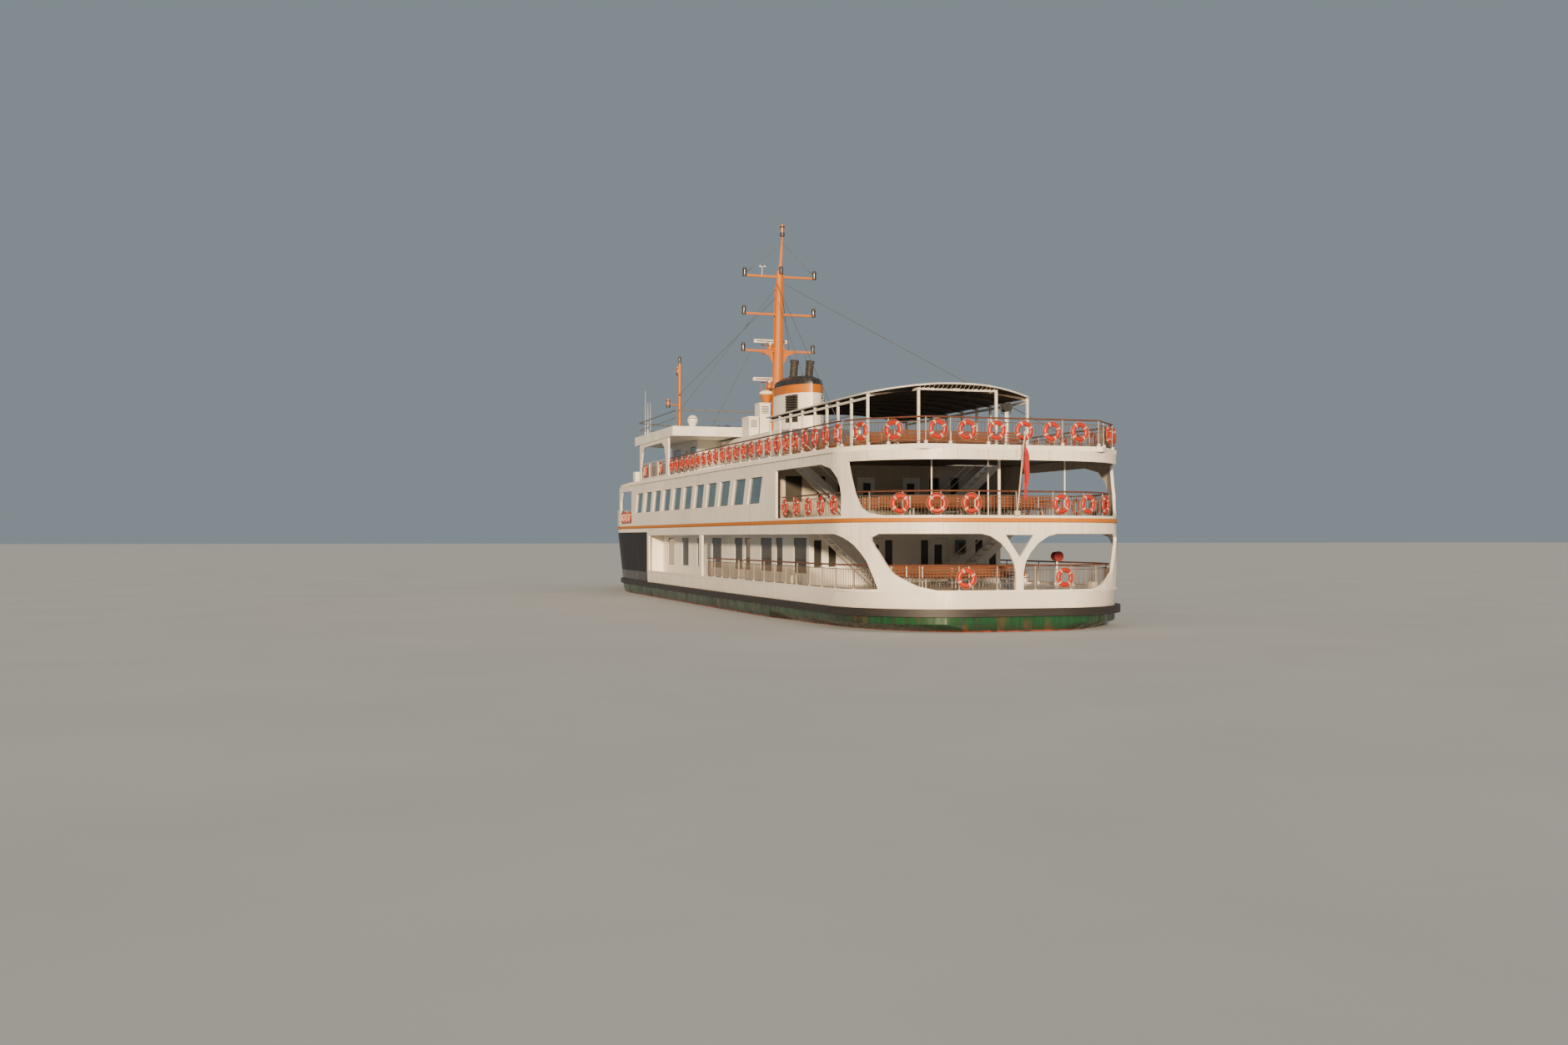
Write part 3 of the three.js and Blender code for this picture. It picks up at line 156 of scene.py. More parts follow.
def weathered_paint(name, colour, roughness=0.36, grime=0.3, rust=0.12, seams=0.0, wave=0.12, ledges=()):
    """Marine paint with rain runs and rust; thin streaks hang below each ledge height."""
    paint = Paint(name, roughness)
    tone = paint.mix(paint.cloud(0.55, 3), colour, shaded(colour, 0.86))
    runs = paint.cloud(3.2, 6, 0.52, 0.82, stretch=(2.6, 2.6, 0.16))
    tone = paint.mix(paint.math("MULTIPLY", runs, grime), tone, shaded(colour, 0.55))
    stain = paint.cloud(4.1, 8, 0.62, 0.86, stretch=(5, 5, 0.4))
    tone = paint.mix(paint.math("MULTIPLY", stain, rust), tone, (0.3, 0.12, 0.045))
    height = paint.cloud(1.1, 2, 0.2, 0.8)
    split = paint.axes()
    for ledge in ledges:
        fade = paint.ramp(split["Z"], ledge - 0.55, ledge)
        below = paint.math("MULTIPLY", paint.math("LESS_THAN", split["Z"], ledge), 0.55)
        thin = paint.cloud(3, 4, 0.58, 0.72, stretch=(7, 7, 0.05))
        share = paint.math("MULTIPLY", paint.math("MULTIPLY", thin, fade), below)
        tone = paint.mix(share, tone, (0.3, 0.17, 0.09))
    if seams:
        along = paint.math("ADD", split["X"], paint.math("ABSOLUTE", split["Y"]))
        plan = paint.wire("CombineXYZ", {"X": along, "Y": split["Z"]}).outputs[0]
        sheets = {"Vector": plan, "Scale": 1.0, "Mortar Size": 0.0045, "Mortar Smooth": 0.6}
        sheets.update({"Brick Width": 1.52, "Row Height": 1.4})
        plates = paint.wire("TexBrick", sheets, offset=0.5).outputs["Fac"]
        tone = paint.mix(paint.math("MULTIPLY", plates, seams), tone, shaded(colour, 0.86))
        height = paint.math("ADD", height, paint.math("MULTIPLY", plates, 0.5))
    paint.colour(tone)
    paint.gloss(paint.cloud(24, 3), roughness - 0.08, roughness + 0.14)
    paint.bump(height, wave, 0.02)
    return paint.material


def pick(*pieces):
    bpy.ops.object.select_all(action="DESELECT")
    for piece in pieces:
        piece.select_set(True)
    bpy.context.view_layer.objects.active = pieces[0]


def modified(piece, kind, **settings):
    """Applies one modifier to a piece, which has to be the active object."""
    modifier = piece.modifiers.new(kind.lower(), kind)
    for setting, value in settings.items():
        setattr(modifier, setting, value)
    bpy.ops.object.modifier_apply(modifier=modifier.name)
    return piece


def from_solid(node, name, bevel=0.003, smooth=32, segments=2, whole=True):
    """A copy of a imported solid, merged, its flat faces made whole and its sharp edges rounded."""
    piece = bpy.data.objects.new(name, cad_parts[node].data.copy())
    bpy.context.scene.collection.objects.link(piece)
    piece.data.materials.clear()
    pick(piece)
    bpy.ops.object.mode_set(mode="EDIT")
    bpy.ops.mesh.select_all(action="SELECT")
    bpy.ops.mesh.remove_doubles(threshold=0.00002)
    if whole:
        bpy.ops.mesh.dissolve_limited(angle_limit=math.radians(0.6))
    bpy.ops.object.mode_set(mode="OBJECT")
    if bevel:
        sharp = math.radians(40)
        modified(piece, "BEVEL", width=bevel, segments=segments, limit_method="ANGLE", angle_limit=sharp)
    bpy.ops.object.shade_smooth_by_angle(angle=math.radians(smooth))
    return modified(piece, "WEIGHTED_NORMAL", weight=100, keep_sharp=True)


def settle(piece, finish, body="root", stands_for=(), smooth=None):
    """Gives a finished piece its material and its body, and hides the solids it stands for."""
    if finish:
        piece.data.materials.append(finish)
    if smooth:
        pick(piece)
        bpy.ops.object.shade_smooth_by_angle(angle=math.radians(smooth))
    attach(piece, body)
    if stands_for:
        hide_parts(*stands_for)
    return piece


def dress(node, name, finish, slot, bevel=0.003, body="root", **shape):
    """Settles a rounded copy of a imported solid, of the given name, in that solid's place."""
    settle(from_solid(node, name, bevel, **shape), finish, body, [node])


white_plate = weathered_paint("white_plate_paint", (0.85, 0.8, 0.71), grime=0.5, rust=0.35, seams=0.9,
                              ledges=(2.087, 3.5))
white_trim = weathered_paint("white_trim_paint", (0.84, 0.79, 0.7), 0.42, grime=0.2, rust=0.15)
# Columns: solid, edge rounding.
plating = [
    ("stern_frame_main", 0.012),
    ("stern_frame_upper", 0.012),
    ("main_side_port", 0.01),
    ("main_side_starboard", 0.01),
    ("upper_side_port", 0.006),
    ("upper_side_starboard", 0.006),
    ("wing_screen_port", 0.006),
    ("wing_screen_starboard", 0.006),
    ("bow_bulwark", 0.01),
]
for node, rounding in plating:
    dress(node, node + "_plating", white_plate, "white_paint", rounding)

# Houses and bulkheads: steel walls inside the decks, in a like white, cleaner and without seams
# because the decks above shelter them; the upper aft bulkhead is painted darker brown as painted
# shade. Doors swing on pins.
white_wall = weathered_paint("white_wall_paint", (0.8, 0.78, 0.73), 0.45, grime=0.25, rust=0.3, wave=0.05)
for node in ("main_house_side_port", "main_house_side_starboard", "main_aft_bulkhead",
             "upper_front_bulkhead", "wheelhouse", "officers_house"):
    dress(node, node + "_steel", white_wall, "white_paint")
# The upper aft bulkhead's darker brown is painted shade under the sun deck.
painted_shade_wall = weathered_paint("painted_shade_wall_paint", (0.5, 0.44, 0.36), 0.5, grime=0.4, rust=0.3, wave=0.05)
dress("upper_aft_bulkhead", "upper_aft_bulkhead_steel", painted_shade_wall, "white_paint")
for node in ("stair_main_port", "stair_main_starboard", "stair_upper_port", "stair_upper_starboard"):
    dress(node, node + "_steel", white_wall, "white_paint", 0.002, smooth=10, segments=1, whole=False)
for level in ("main", "upper", "wheelhouse"):
    for side in ("port", "starboard"):
        node = level + "_door_" + side
        dress(node, node + "_leaf", white_wall, "white_paint", body=node + "_swing_body")

# Hull: dull red bottom paint below the waterline, green from there to the rubbing band, then white
# as far as the raised bow, whose sides are black. Slime and rust weep over the green.


def hull_finish():
    paint = Paint("hull_band_paint", 0.34)
    split = paint.axes()
    wander = paint.math("MULTIPLY", paint.cloud(2.4, 5), 0.02)
    height = paint.math("ADD", split["Z"], wander)
    streaks = paint.cloud(3.6, 6, 0.42, 0.72, stretch=(3.2, 3.2, 0.3))
    green = paint.mix(streaks, (0.01, 0.062, 0.022), (0.006, 0.022, 0.012))
    slime = paint.cloud(1.1, 6, 0.42, 0.62, stretch=(0.5, 0.5, 1.6))
    green = paint.mix(paint.math("MULTIPLY", slime, 0.75), green, (0.012, 0.016, 0.008))
    green = paint.mix(paint.ramp(height, 0.05, 0.2, 0.6, 0), green, (0.014, 0.013, 0.008))
    weep = paint.cloud(2.2, 7, 0.55, 0.75, stretch=(1.3, 1.3, 0.5))
    green = paint.mix(paint.math("MULTIPLY", weep, 0.75), green, (0.12, 0.035, 0.018))
    broken = paint.cloud(4.2, 6, 0.45, 0.6)
    broken = paint.math("MULTIPLY", broken, paint.math("GREATER_THAN", height, -0.03))
    red_line = paint.mix(streaks, (0.26, 0.04, 0.02), (0.13, 0.028, 0.018))
    red_line = paint.mix(broken, red_line, (0.045, 0.02, 0.012))
    white = paint.mix(paint.cloud(0.6), (0.85, 0.8, 0.71), (0.74, 0.69, 0.61))
    black = paint.mix(streaks, (0.02, 0.021, 0.023), (0.05, 0.04, 0.034))
    above_water = paint.math("GREATER_THAN", height, 0.036)
    above_band = paint.math("GREATER_THAN", split["Z"], 0.37)
    forward = paint.math("GREATER_THAN", split["X"], 4.7)
    tone = paint.mix(above_water, red_line, green)
    tone = paint.mix(above_band, tone, white)
    black_share = paint.math("MULTIPLY", forward, above_band)
    tone = paint.mix(black_share, tone, black)
    stain = paint.cloud(4.6, 8, 0.66, 0.86, stretch=(5, 5, 0.5))
    tone = paint.mix(paint.math("MULTIPLY", stain, 0.5), tone, (0.26, 0.1, 0.04))
    paint.colour(tone)
    paint.gloss(streaks, 0.22, 0.5)
    paint.bump(paint.cloud(1.3, 3), 0.25, 0.02)
    return paint.material


def bow_finish():
    paint = Paint("raised_bow_paint", 0.5)
    paint.fixed("Specular IOR Level", 0.25)
    split = paint.axes()
    streaks = paint.cloud(3.6, 6, 0.45, 0.78, stretch=(4, 4, 0.3))
    # The sides' near-black is black paint, made darker still as painted shade.
    black = paint.mix(streaks, (0.007, 0.007, 0.008), (0.03, 0.022, 0.017))
    white = paint.mix(paint.cloud(0.6), (0.85, 0.8, 0.71), (0.74, 0.69, 0.61))
    strake = paint.math("GREATER_THAN", split["Z"], 1.98)
    facing_aft = paint.math("LESS_THAN", split["X"], 4.71)
    upper = paint.math("MAXIMUM", strake, facing_aft)
    paint.colour(paint.mix(upper, black, white))
    paint.bump(paint.cloud(1.1, 3), 0.2, 0.02)
    return paint.material


dress("hull", "hull_skin", hull_finish(), "hull_paint", 0.006)
dress("raised_bow", "raised_bow_skin", bow_finish(), "hull_paint", 0.008)

# Rubbing band: a heavy black rubber belt that stands out from the shell all round the ship,
# scuffed brown where it rubs.
paint = Paint("chafed_rubber", 0.55)
rubber_finish = paint.material
scuff = paint.cloud(3, 7, 0.55, 0.85, stretch=(0.5, 0.5, 7))
paint.colour(paint.mix(scuff, (0.018, 0.016, 0.015), (0.05, 0.034, 0.025)))
paint.bump(paint.cloud(9, 4, stretch=(0.3, 0.3, 1)), 0.22, 0.008)
dress("rubbing_band", "rubbing_belt", rubber_finish, "black_rubber", 0.018, segments=4)

# Decks: the upper deck's edge carries the orange stripe over a thin brown line; its top is grey
# non-slip paint, and the undersides of both decks are painted dark brown as painted shade on the
# ceilings. The sun deck's edge is white, and the bridge roof is white with a worn dark rail.


def deck_finish(name, edge, under):
    paint = Paint(name, 0.6)
    up = paint.facing_up()
    split = paint.axes()
    grit = paint.cloud(60, 4)
    worn = paint.mix(paint.cloud(1.2, 5), (0.16, 0.18, 0.17), (0.27, 0.27, 0.25))
    worn = paint.mix(paint.math("MULTIPLY", grit, 0.2), worn, (0.08, 0.08, 0.08))
    line = paint.math("LESS_THAN", split["Z"], 2.113)
    rim = paint.mix(line, edge, shaded(edge, 0.5))
    runs = paint.cloud(3.4, 6, 0.5, 0.85, stretch=(3, 3, 0.3))
    rim = paint.mix(paint.math("MULTIPLY", runs, 0.4), rim, shaded(edge, 0.5))
    # Faces turned down take the under colour, which is painted shade on the ceilings.
    pale = paint.mix(paint.cloud(0.7), under, shaded(under, 0.85))
    tone = paint.mix(paint.math("GREATER_THAN", up, 0.6), rim, worn)
    tone = paint.mix(paint.math("LESS_THAN", up, -0.6), tone, pale)
    paint.colour(tone)
    paint.bump(grit, 0.2, 0.004)
    return paint.material


stripe = (0.5, 0.155, 0.001)
# The ceiling colour is a dark brown that stands for painted shade on the decks' undersides.
ceiling = (0.12, 0.09, 0.07)
dress("upper_deck", "upper_deck_slab", deck_finish("striped_deck", stripe, ceiling), "orange_paint", 0.006)
white_edged = deck_finish("white_edged_deck", (0.85, 0.8, 0.71), ceiling)
dress("sun_deck", "sun_deck_plating", white_edged, "white_paint", 0.01)
paint = Paint("bridge_roof_paint", 0.5)
roof_paint = paint.material
split = paint.axes()
above = paint.math("GREATER_THAN", split["Z"], 5.053)
dome_place = (5, 1.325, 5.3)
off_dome = paint.wire("VectorMath", {0: paint.place, 1: dome_place}, operation="DISTANCE").outputs["Value"]
rail_share = paint.math("MULTIPLY", above, paint.math("GREATER_THAN", off_dome, 0.6))
pale = paint.mix(paint.cloud(2, 6), (0.82, 0.81, 0.77), (0.66, 0.63, 0.58))
worn = paint.mix(paint.cloud(9, 5), (0.1, 0.095, 0.085), (0.17, 0.15, 0.125))
paint.colour(paint.mix(rail_share, pale, worn))
paint.bump(paint.cloud(30, 3), 0.1, 0.003)
dress("bridge_roof", "bridge_roof_slab", roof_paint, "white_paint", 0.005)

# Running gear: dulled bronze propellers on shafts in fixed tubes, spade rudders in green bottom
# paint, and the grey engine block inside the hull.
paint = Paint("dulled_bronze", 0.36, 1.0)
bronze_finish = paint.material
paint.colour(paint.mix(paint.cloud(9, 6), (0.6, 0.4, 0.16), (0.28, 0.22, 0.1)))
paint.bump(paint.cloud(40, 3), 0.15, 0.003)
bottom_green = weathered_paint("bottom_green_paint", (0.02, 0.12, 0.06), 0.5, grime=0.6, rust=0.6, wave=0.1)
engine_grey = weathered_paint("engine_grey_paint", (0.24, 0.26, 0.27), 0.5, grime=0.5, rust=0.2)
both_sides = (("port", 1), ("starboard", -1))
dress("engine", "engine_block", engine_grey, "machine_grey", 0.02)
for name, _ in both_sides:
    dress("propeller_" + name, "propeller_casting_" + name, bronze_finish, "bronze",
          body="propeller_" + name + "_turn_body", smooth=60)
    dress("rudder_" + name, "rudder_blade_" + name, bottom_green, "green_paint", 0.008,
          "rudder_" + name + "_steer_body")
    dress("shaft_tube_" + name, "shaft_casing_" + name, bottom_green, "green_paint", 0.004)

# Deck edge: every rail, ring and window below follows the ship's side, so the same half
# breadths as the hull's give a point at a distance along the edge from the middle of the stern.
half_beam = 6.1
plan_knots = [(0.0, 0.0), (0.0, 1.7)]
for step in range(1, 9):
    turn = step / 8 * math.pi / 2
    plan_knots.append((4.5 * (1 - math.cos(turn)), 1.7 + (half_beam - 1.7) * math.sin(turn)))
plan_knots += [(20.0, half_beam), (45.0, 5.6)]
for step in range(1, 9):
    plan_knots.append((45 + 15 * step / 8, 5.6 * (1 - (step / 8) ** 2.8)))
edge_reach = [0.0]
for before, after in zip(plan_knots, plan_knots[1:]):
    edge_reach.append(edge_reach[-1] + math.dist(before, after))


def knot_normal(knot):
    """The outward direction in plan at a knot, midway between its two straight runs' own."""
    directions = []
    for first in (knot - 1, knot):
        first = min(max(first, 0), len(plan_knots) - 2)
        run = Vector(plan_knots[first + 1]) - Vector(plan_knots[first])
        directions.append(Vector((-run.y, run.x)).normalized())
    if knot == 0:
        directions[0] = Vector((-1, 0))
    return (directions[0] + directions[1]).normalized()


def edge_point(s, outward=0.0):
    """A point in plan at the distance s from the middle of the stern, port positive."""
    distance = min(abs(s), edge_reach[-1])
    knot = 0
    while knot < len(edge_reach) - 2 and edge_reach[knot + 1] < distance:
        knot += 1
    share = (distance - edge_reach[knot]) / (edge_reach[knot + 1] - edge_reach[knot])
    flat = Vector(plan_knots[knot]).lerp(Vector(plan_knots[knot + 1]), share)
    flat += knot_normal(knot).lerp(knot_normal(knot + 1), share) * outward
    return flat.x, flat.y * (-1 if s < 0 else 1)


def reach_at(x):
    """The distance along the edge at which it is as far forward as x."""
    knot = 1
    while plan_knots[knot + 1][0] < x:
        knot += 1
    (x0, _), (x1, _) = plan_knots[knot], plan_knots[knot + 1]
    return edge_reach[knot] + (x - x0) / (x1 - x0) * (edge_reach[knot + 1] - edge_reach[knot])


def edge_place(s, outward, z, reach=0.02):
    """A matrix on the edge whose Y points out of the ship, turned by the points a reach away."""
    ahead = Vector(edge_point(s + reach, outward)) - Vector(edge_point(s - reach, outward))
    turn = Matrix.Rotation(math.atan2(ahead.y, ahead.x), 4, "Z")
    return Matrix.Translation((*edge_point(s, outward), z)) @ turn


def spread(first, last, count):
    return [first + (last - first) * number / (count - 1) for number in range(count)]


def edge_places(start, end, step, outward, z):
    stations = max(1, round((end - start) / step)) + 1
    return [edge_place(s, outward, z) for s in spread(start, end, stations)]


model_scale = 0.5
to_model = Matrix.Scale(model_scale, 4) @ Matrix.Translation((-30, 0, 0))

# Rails: brown painted top rail over two thin grey bars, with slim grey balusters and thicker
# stanchions on white foot blocks, all welded steel with spots of rust.


def rod(start, end, radius, sides=8, end_radius=None):
    """A round bar between two points, in the real ship's metres."""
    start, end = Vector(start), Vector(end)
    along = end - start
    far = radius if end_radius is None else end_radius
    bpy.ops.mesh.primitive_cone_add(vertices=sides, radius1=radius, radius2=far, depth=along.length)
    piece = bpy.context.object
    turn = Vector((0, 0, 1)).rotation_difference(along.normalized()).to_matrix().to_4x4()
    piece.data.transform(Matrix.Translation((start + end) / 2) @ turn)
    return piece


def crate(low, high, bevel=0.012):
    """A box between two corners with rounded edges."""
    low, high = Vector(low), Vector(high)
    bpy.ops.mesh.primitive_cube_add(size=1)
    piece = bpy.context.object
    piece.data.transform(Matrix.Translation((low + high) / 2) @ Matrix.Diagonal((*(high - low), 1)))
    return modified(piece, "BEVEL", width=bevel, segments=2)


def tube(points, radius, sides=6, closed=False):
    """A pipe bent through the points, as a mesh."""
    curve = bpy.data.curves.new("bent_pipe", "CURVE")
    curve.dimensions = "3D"
    curve.bevel_depth = radius
    curve.bevel_resolution = max(0, sides // 2 - 2)
    curve.use_fill_caps = not closed
    spline = curve.splines.new("POLY")
    spline.points.add(len(points) - 1)
    for point, target in zip(points, spline.points):
        target.co = (*point, 1)
    spline.use_cyclic_u = closed
    piece = bpy.data.objects.new("bent_pipe", curve)
    bpy.context.scene.collection.objects.link(piece)
    pick(piece)
    bpy.ops.object.convert(target="MESH")
    return bpy.context.object


def copies(pattern, places):
    """Copies of a pattern at the given places, each with its own mesh."""
    made = []
    for matrix in places:
        copy = bpy.data.objects.new(pattern.name, pattern.data.copy())
        copy.data.transform(matrix)
        bpy.context.scene.collection.objects.link(copy)
        made.append(copy)
    return made


def joined(name, pieces):
    """One mesh of several pieces, brought from the real ship's metres to the model's."""
    if len(pieces) > 1:
        pick(*pieces)
        bpy.ops.object.join()
    piece = pieces[0]
    piece.name = name
    piece.data.name = name
    piece.data.transform(to_model)
    return piece


def coat(piece, finish):
    piece.data.materials.clear()
    piece.data.materials.append(finish)
    return piece


def steel_finish(name, colour, rust_share, roughness=0.45, metallic=0.0):
    paint = Paint(name, roughness, metallic)
    tone = paint.mix(paint.cloud(6, 4), colour, shaded(colour, 0.7))
    spots = paint.cloud(17, 6, 0.55, 0.72)
    tone = paint.mix(paint.math("MULTIPLY", spots, rust_share), tone, (0.24, 0.09, 0.035))
    paint.colour(tone)
    paint.bump(paint.cloud(45, 3), 0.2, 0.002)
    return paint.material


brown_rail = steel_finish("brown_rail_paint", (0.13, 0.045, 0.024), 0.6)
grey_bar = steel_finish("grey_bar_steel", (0.12, 0.095, 0.075), 0.75)
pale_post = steel_finish("pale_post_paint", (0.3, 0.25, 0.2), 0.55)
foot_white = steel_finish("white_foot_paint", (0.8, 0.78, 0.74), 0.4)
rail_height = 1.06
bar_drop = 0.19
rail_low = 0.1
baluster_pitch = 0.145
stanchion_pitch = 1.6
baluster = coat(rod((0, 0, rail_low), (0, 0, rail_height - bar_drop), 0.012, 5), grey_bar)
stanchion = coat(rod((0, 0, 0.05), (0, 0, rail_height - 0.03), 0.026, 8), pale_post)
foot_block = coat(crate((-0.06, -0.06, 0.002), (0.06, 0.06, 0.12), 0.015), foot_white)


def rail_bars(line, base):
    """A rail's thick brown top bar and two thin grey bars, along points in plan."""
    made = []
    for height, radius, sides, look in ((rail_height - 0.025, 0.034, 8, brown_rail),
                                        (rail_height - bar_drop, 0.018, 6, grey_bar),
                                        (rail_low, 0.015, 6, grey_bar)):
        made.append(coat(tube([(*point, base + height) for point in line], radius, sides), look))
    return made


def edge_rail(start, end, base, inset, feet=True):
    """One span of rail along the ship's edge, as loose pieces."""
    bends = max(2, round((end - start) / 0.5)) + 1
    made = rail_bars([edge_point(s, -inset) for s in spread(start, end, bends)], base)
    made += copies(baluster, edge_places(start + 0.07, end - 0.07, baluster_pitch, -inset, base))
    posts = edge_places(start + 0.03, end - 0.03, stanchion_pitch, -inset, base)
    made += copies(stanchion, posts)
    if feet:
        made += copies(foot_block, posts)
    return made


# Life rings: orange plastic rings with four pale reflective bands, and a grab line that stands
# off a little between its seizings. They hang on the outer side of the rails.
paint = Paint("ring_orange_plastic", 0.38)
ring_orange = paint.material
tone = paint.mix(paint.cloud(3, 5), (0.46, 0.024, 0.006), (0.3, 0.018, 0.007))
tone = paint.mix(paint.math("MULTIPLY", paint.cloud(30, 5, 0.55, 0.8), 0.4), tone, (0.3, 0.1, 0.06))
paint.colour(tone)
paint.bump(paint.cloud(20, 4), 0.15, 0.003)
band_white = steel_finish("ring_reflective_band", (0.6, 0.5, 0.42), 0.1, 0.35)
line_finish = steel_finish("grab_line_rope", (0.42, 0.2, 0.13), 0.2, 0.8)
ring_radius = 0.288
ring_thick = 0.09
ring_height = 0.56
grab_radius, grab_slack = 0.385, 0.022
bpy.ops.object.select_all(action="DESELECT")
bpy.ops.mesh.primitive_torus_add(
    major_radius=ring_radius, minor_radius=ring_thick, major_segments=32, minor_segments=10)
life_ring = bpy.context.object
life_ring.data.materials.append(ring_orange)
life_ring.data.materials.append(band_white)
for face in life_ring.data.polygons:
    quarter = (math.degrees(math.atan2(face.center.y, face.center.x)) + 39.4) % 90
    face.material_index = 1 if min(quarter, 90 - quarter) < 5 else 0
    face.use_smooth = True
grab_points = []
for step in range(48):
    turn = step / 48 * 2 * math.pi
    reach = grab_radius + grab_slack * abs(math.sin(2 * (turn - math.pi / 4)))
    grab_points.append((reach * math.cos(turn), reach * math.sin(turn), 0.0))
grab_line = coat(tube(grab_points, 0.009, 4, closed=True), line_finish)
pick(life_ring, grab_line)
bpy.ops.object.join()
life_ring.data.transform(Matrix.Diagonal((1, 0.72, 1, 1)) @ Matrix.Rotation(math.radians(90), 4, "X"))


def hung_rings(places, base, outward, seed):
    """Life rings on the outer side of a rail, each turned a little by hand."""
    hand = random.Random(seed)
    made = []
    for s in places:
        roll = Matrix.Rotation(hand.uniform(-0.25, 0.25), 4, "Y")
        made += copies(life_ring, [edge_place(s, outward, base + ring_height, 0.05) @ roll])
    return made


deck_height = {"main": 1.5, "upper": 4.37, "sun": 7.2}
side_rings = spread(8.9, 15.3, 5)
stern_rings = [4.86, 3.35, 1.94, -1.94, -3.35, -4.86]
gate_from, gate_to = 22.0, 22.95
# Columns: rail, its spans, deck, inset, ring places.
rail_rows = [
    ("sun_rail_port", [(7.9, 37.6)], "sun", 0.12, spread(8.1, 36.8, 23)),
    ("sun_rail_starboard", [(-37.6, -7.9)], "sun", 0.12, spread(-36.8, -8.1, 23)),
    ("upper_rail", [(-15.95, 15.95)], "upper", 0.3, stern_rings + side_rings + [-s for s in side_rings]),
    ("main_rail", [(-29.2, -gate_to), (-gate_from, gate_from), (gate_to, 29.2)], "main", 0.3, [2.16, -2.08]),
]
for name, spans, deck, inset, ring_places in rail_rows:
    base = deck_height[deck]
    pieces = [piece for start, end in spans for piece in edge_rail(start, end, base, inset)]
    pieces += hung_rings(ring_places, base, -inset + 0.1, name)
    settle(joined(name + "_work", pieces), None, stands_for=[name], smooth=40)

# The sun deck's stern rail keeps to the deck's straight facets, with rings across the stern and
# at the corners.
facet_line = [(3.62, -5.84), (2.3, -5.35), (0.5, -3.7), (0.5, 3.7), (2.3, 5.35), (3.62, 5.84)]
facet_line = [Vector(point) for point in facet_line]
sun_base = deck_height["sun"]
pieces = rail_bars(facet_line, sun_base)
for before, after in zip(facet_line, facet_line[1:]):
    steps = round((after - before).length / baluster_pitch)
    for number in range(steps + 1):
        flat = before.lerp(after, number / steps)
        for pattern in [baluster] if number % 11 else [stanchion, foot_block]:
            pieces += copies(pattern, [Matrix.Translation((*flat, sun_base))])
hand = random.Random(4)
ring_stands = [(0.4, y, 90) for y in (3.24, 2.02, 0.78, -0.4, -1.6, -2.81)]
ring_stands += [(1.405, 4.665, 42.5), (2.57, 5.56, 20.4), (1.405, -4.665, -42.5), (2.57, -5.56, -20.4)]
for x, y, turn in ring_stands:
    place = Matrix.Translation((x, y, sun_base + ring_height)) @ Matrix.Rotation(math.radians(turn), 4, "Z")
    pieces += copies(life_ring, [place @ Matrix.Rotation(hand.uniform(-0.3, 0.3), 4, "Y")])
settle(joined("sun_rail_stern_work", pieces), None, stands_for=["sun_rail_stern"], smooth=40)

# Forward promenade opening and the bridge wings: short lengths of the same steel rail with life
# rings, without foot blocks, welded to the plating at their ends.
forward_start = reach_at(44.4)
wing_start, wing_end = reach_at(33.8), reach_at(42.2)
for name, side in both_sides:
    pieces = []
    for start, end, deck, inset, ring_places in (
        (forward_start - 0.1, forward_start + 3.9, "upper", 0.06,
         spread(forward_start + 0.5, forward_start + 3.2, 4)),
        (wing_start + 0.5, wing_end - 0.3, "sun", 0.15, [wing_start + 2, wing_end - 2]),
    ):
        first, last = sorted((side * start, side * end))
        pieces += edge_rail(first, last, deck_height[deck], inset, feet=False)
        pieces += hung_rings([side * s for s in ring_places], deck_height[deck], -inset + 0.08, name)
    settle(joined("forward_rails_" + name, pieces), None, smooth=40)

# Boarding gates: hinged lengths of the main deck rail, welded from the same steel bars and
# balusters. Each swings on a pin in its after post.
for name, side in both_sides:
    x0, y = edge_point(side * gate_from, -0.3)
    x1, _ = edge_point(side * gate_to, -0.3)
    hinge_x, free_x = x0 + 0.0256, x1 - 0.08
    low, high = 1.6, 2.54
    pieces = [coat(rod((hinge_x, y, low), (hinge_x, y, high), 0.025, 10), pale_post)]
    latch_post = crate((free_x - 0.02, y - 0.02, low), (free_x + 0.02, y + 0.02, high - 0.02), 0.006)
    pieces.append(coat(latch_post, pale_post))
    for z, radius, look in ((2.5, 0.03, brown_rail), (2.1, 0.016, grey_bar), (1.66, 0.016, grey_bar)):
        pieces.append(coat(rod((hinge_x, y, z), (free_x, y, z), radius, 8), look))
    for share in (0.2, 0.4, 0.6, 0.8):
        x = hinge_x + (free_x - hinge_x) * share
        pieces.append(coat(rod((x, y, 1.66), (x, y, 2.5), 0.01, 5), grey_bar))
    gate = joined("gate_panel_" + name, pieces)
    settle(gate, None, "gate_" + name + "_swing_body", ["gate_" + name], smooth=40)

# Windows: toughened blue-green glass in black rubber gaskets, set a little inside the white
# plating. Saloon windows slant with the ship's lines, the wheelhouse's look ahead and abeam.
paint = Paint("window_glass", 0.05, 0.0)
glass_finish = paint.material
# The glass colour is mottled lighter by a painted sky reflection laid into it.
painted_sky_reflection = paint.cloud(1.7, 3, 0.35, 0.7, stretch=(0.5, 0.5, 1.6))
paint.colour(paint.mix(painted_sky_reflection, (0.04, 0.085, 0.1), (0.085, 0.13, 0.145)))
paint.fixed("Coat Weight", 0.6)
paint.fixed("Coat Roughness", 0.03)
paint.gloss(paint.cloud(5, 4), 0.03, 0.16)
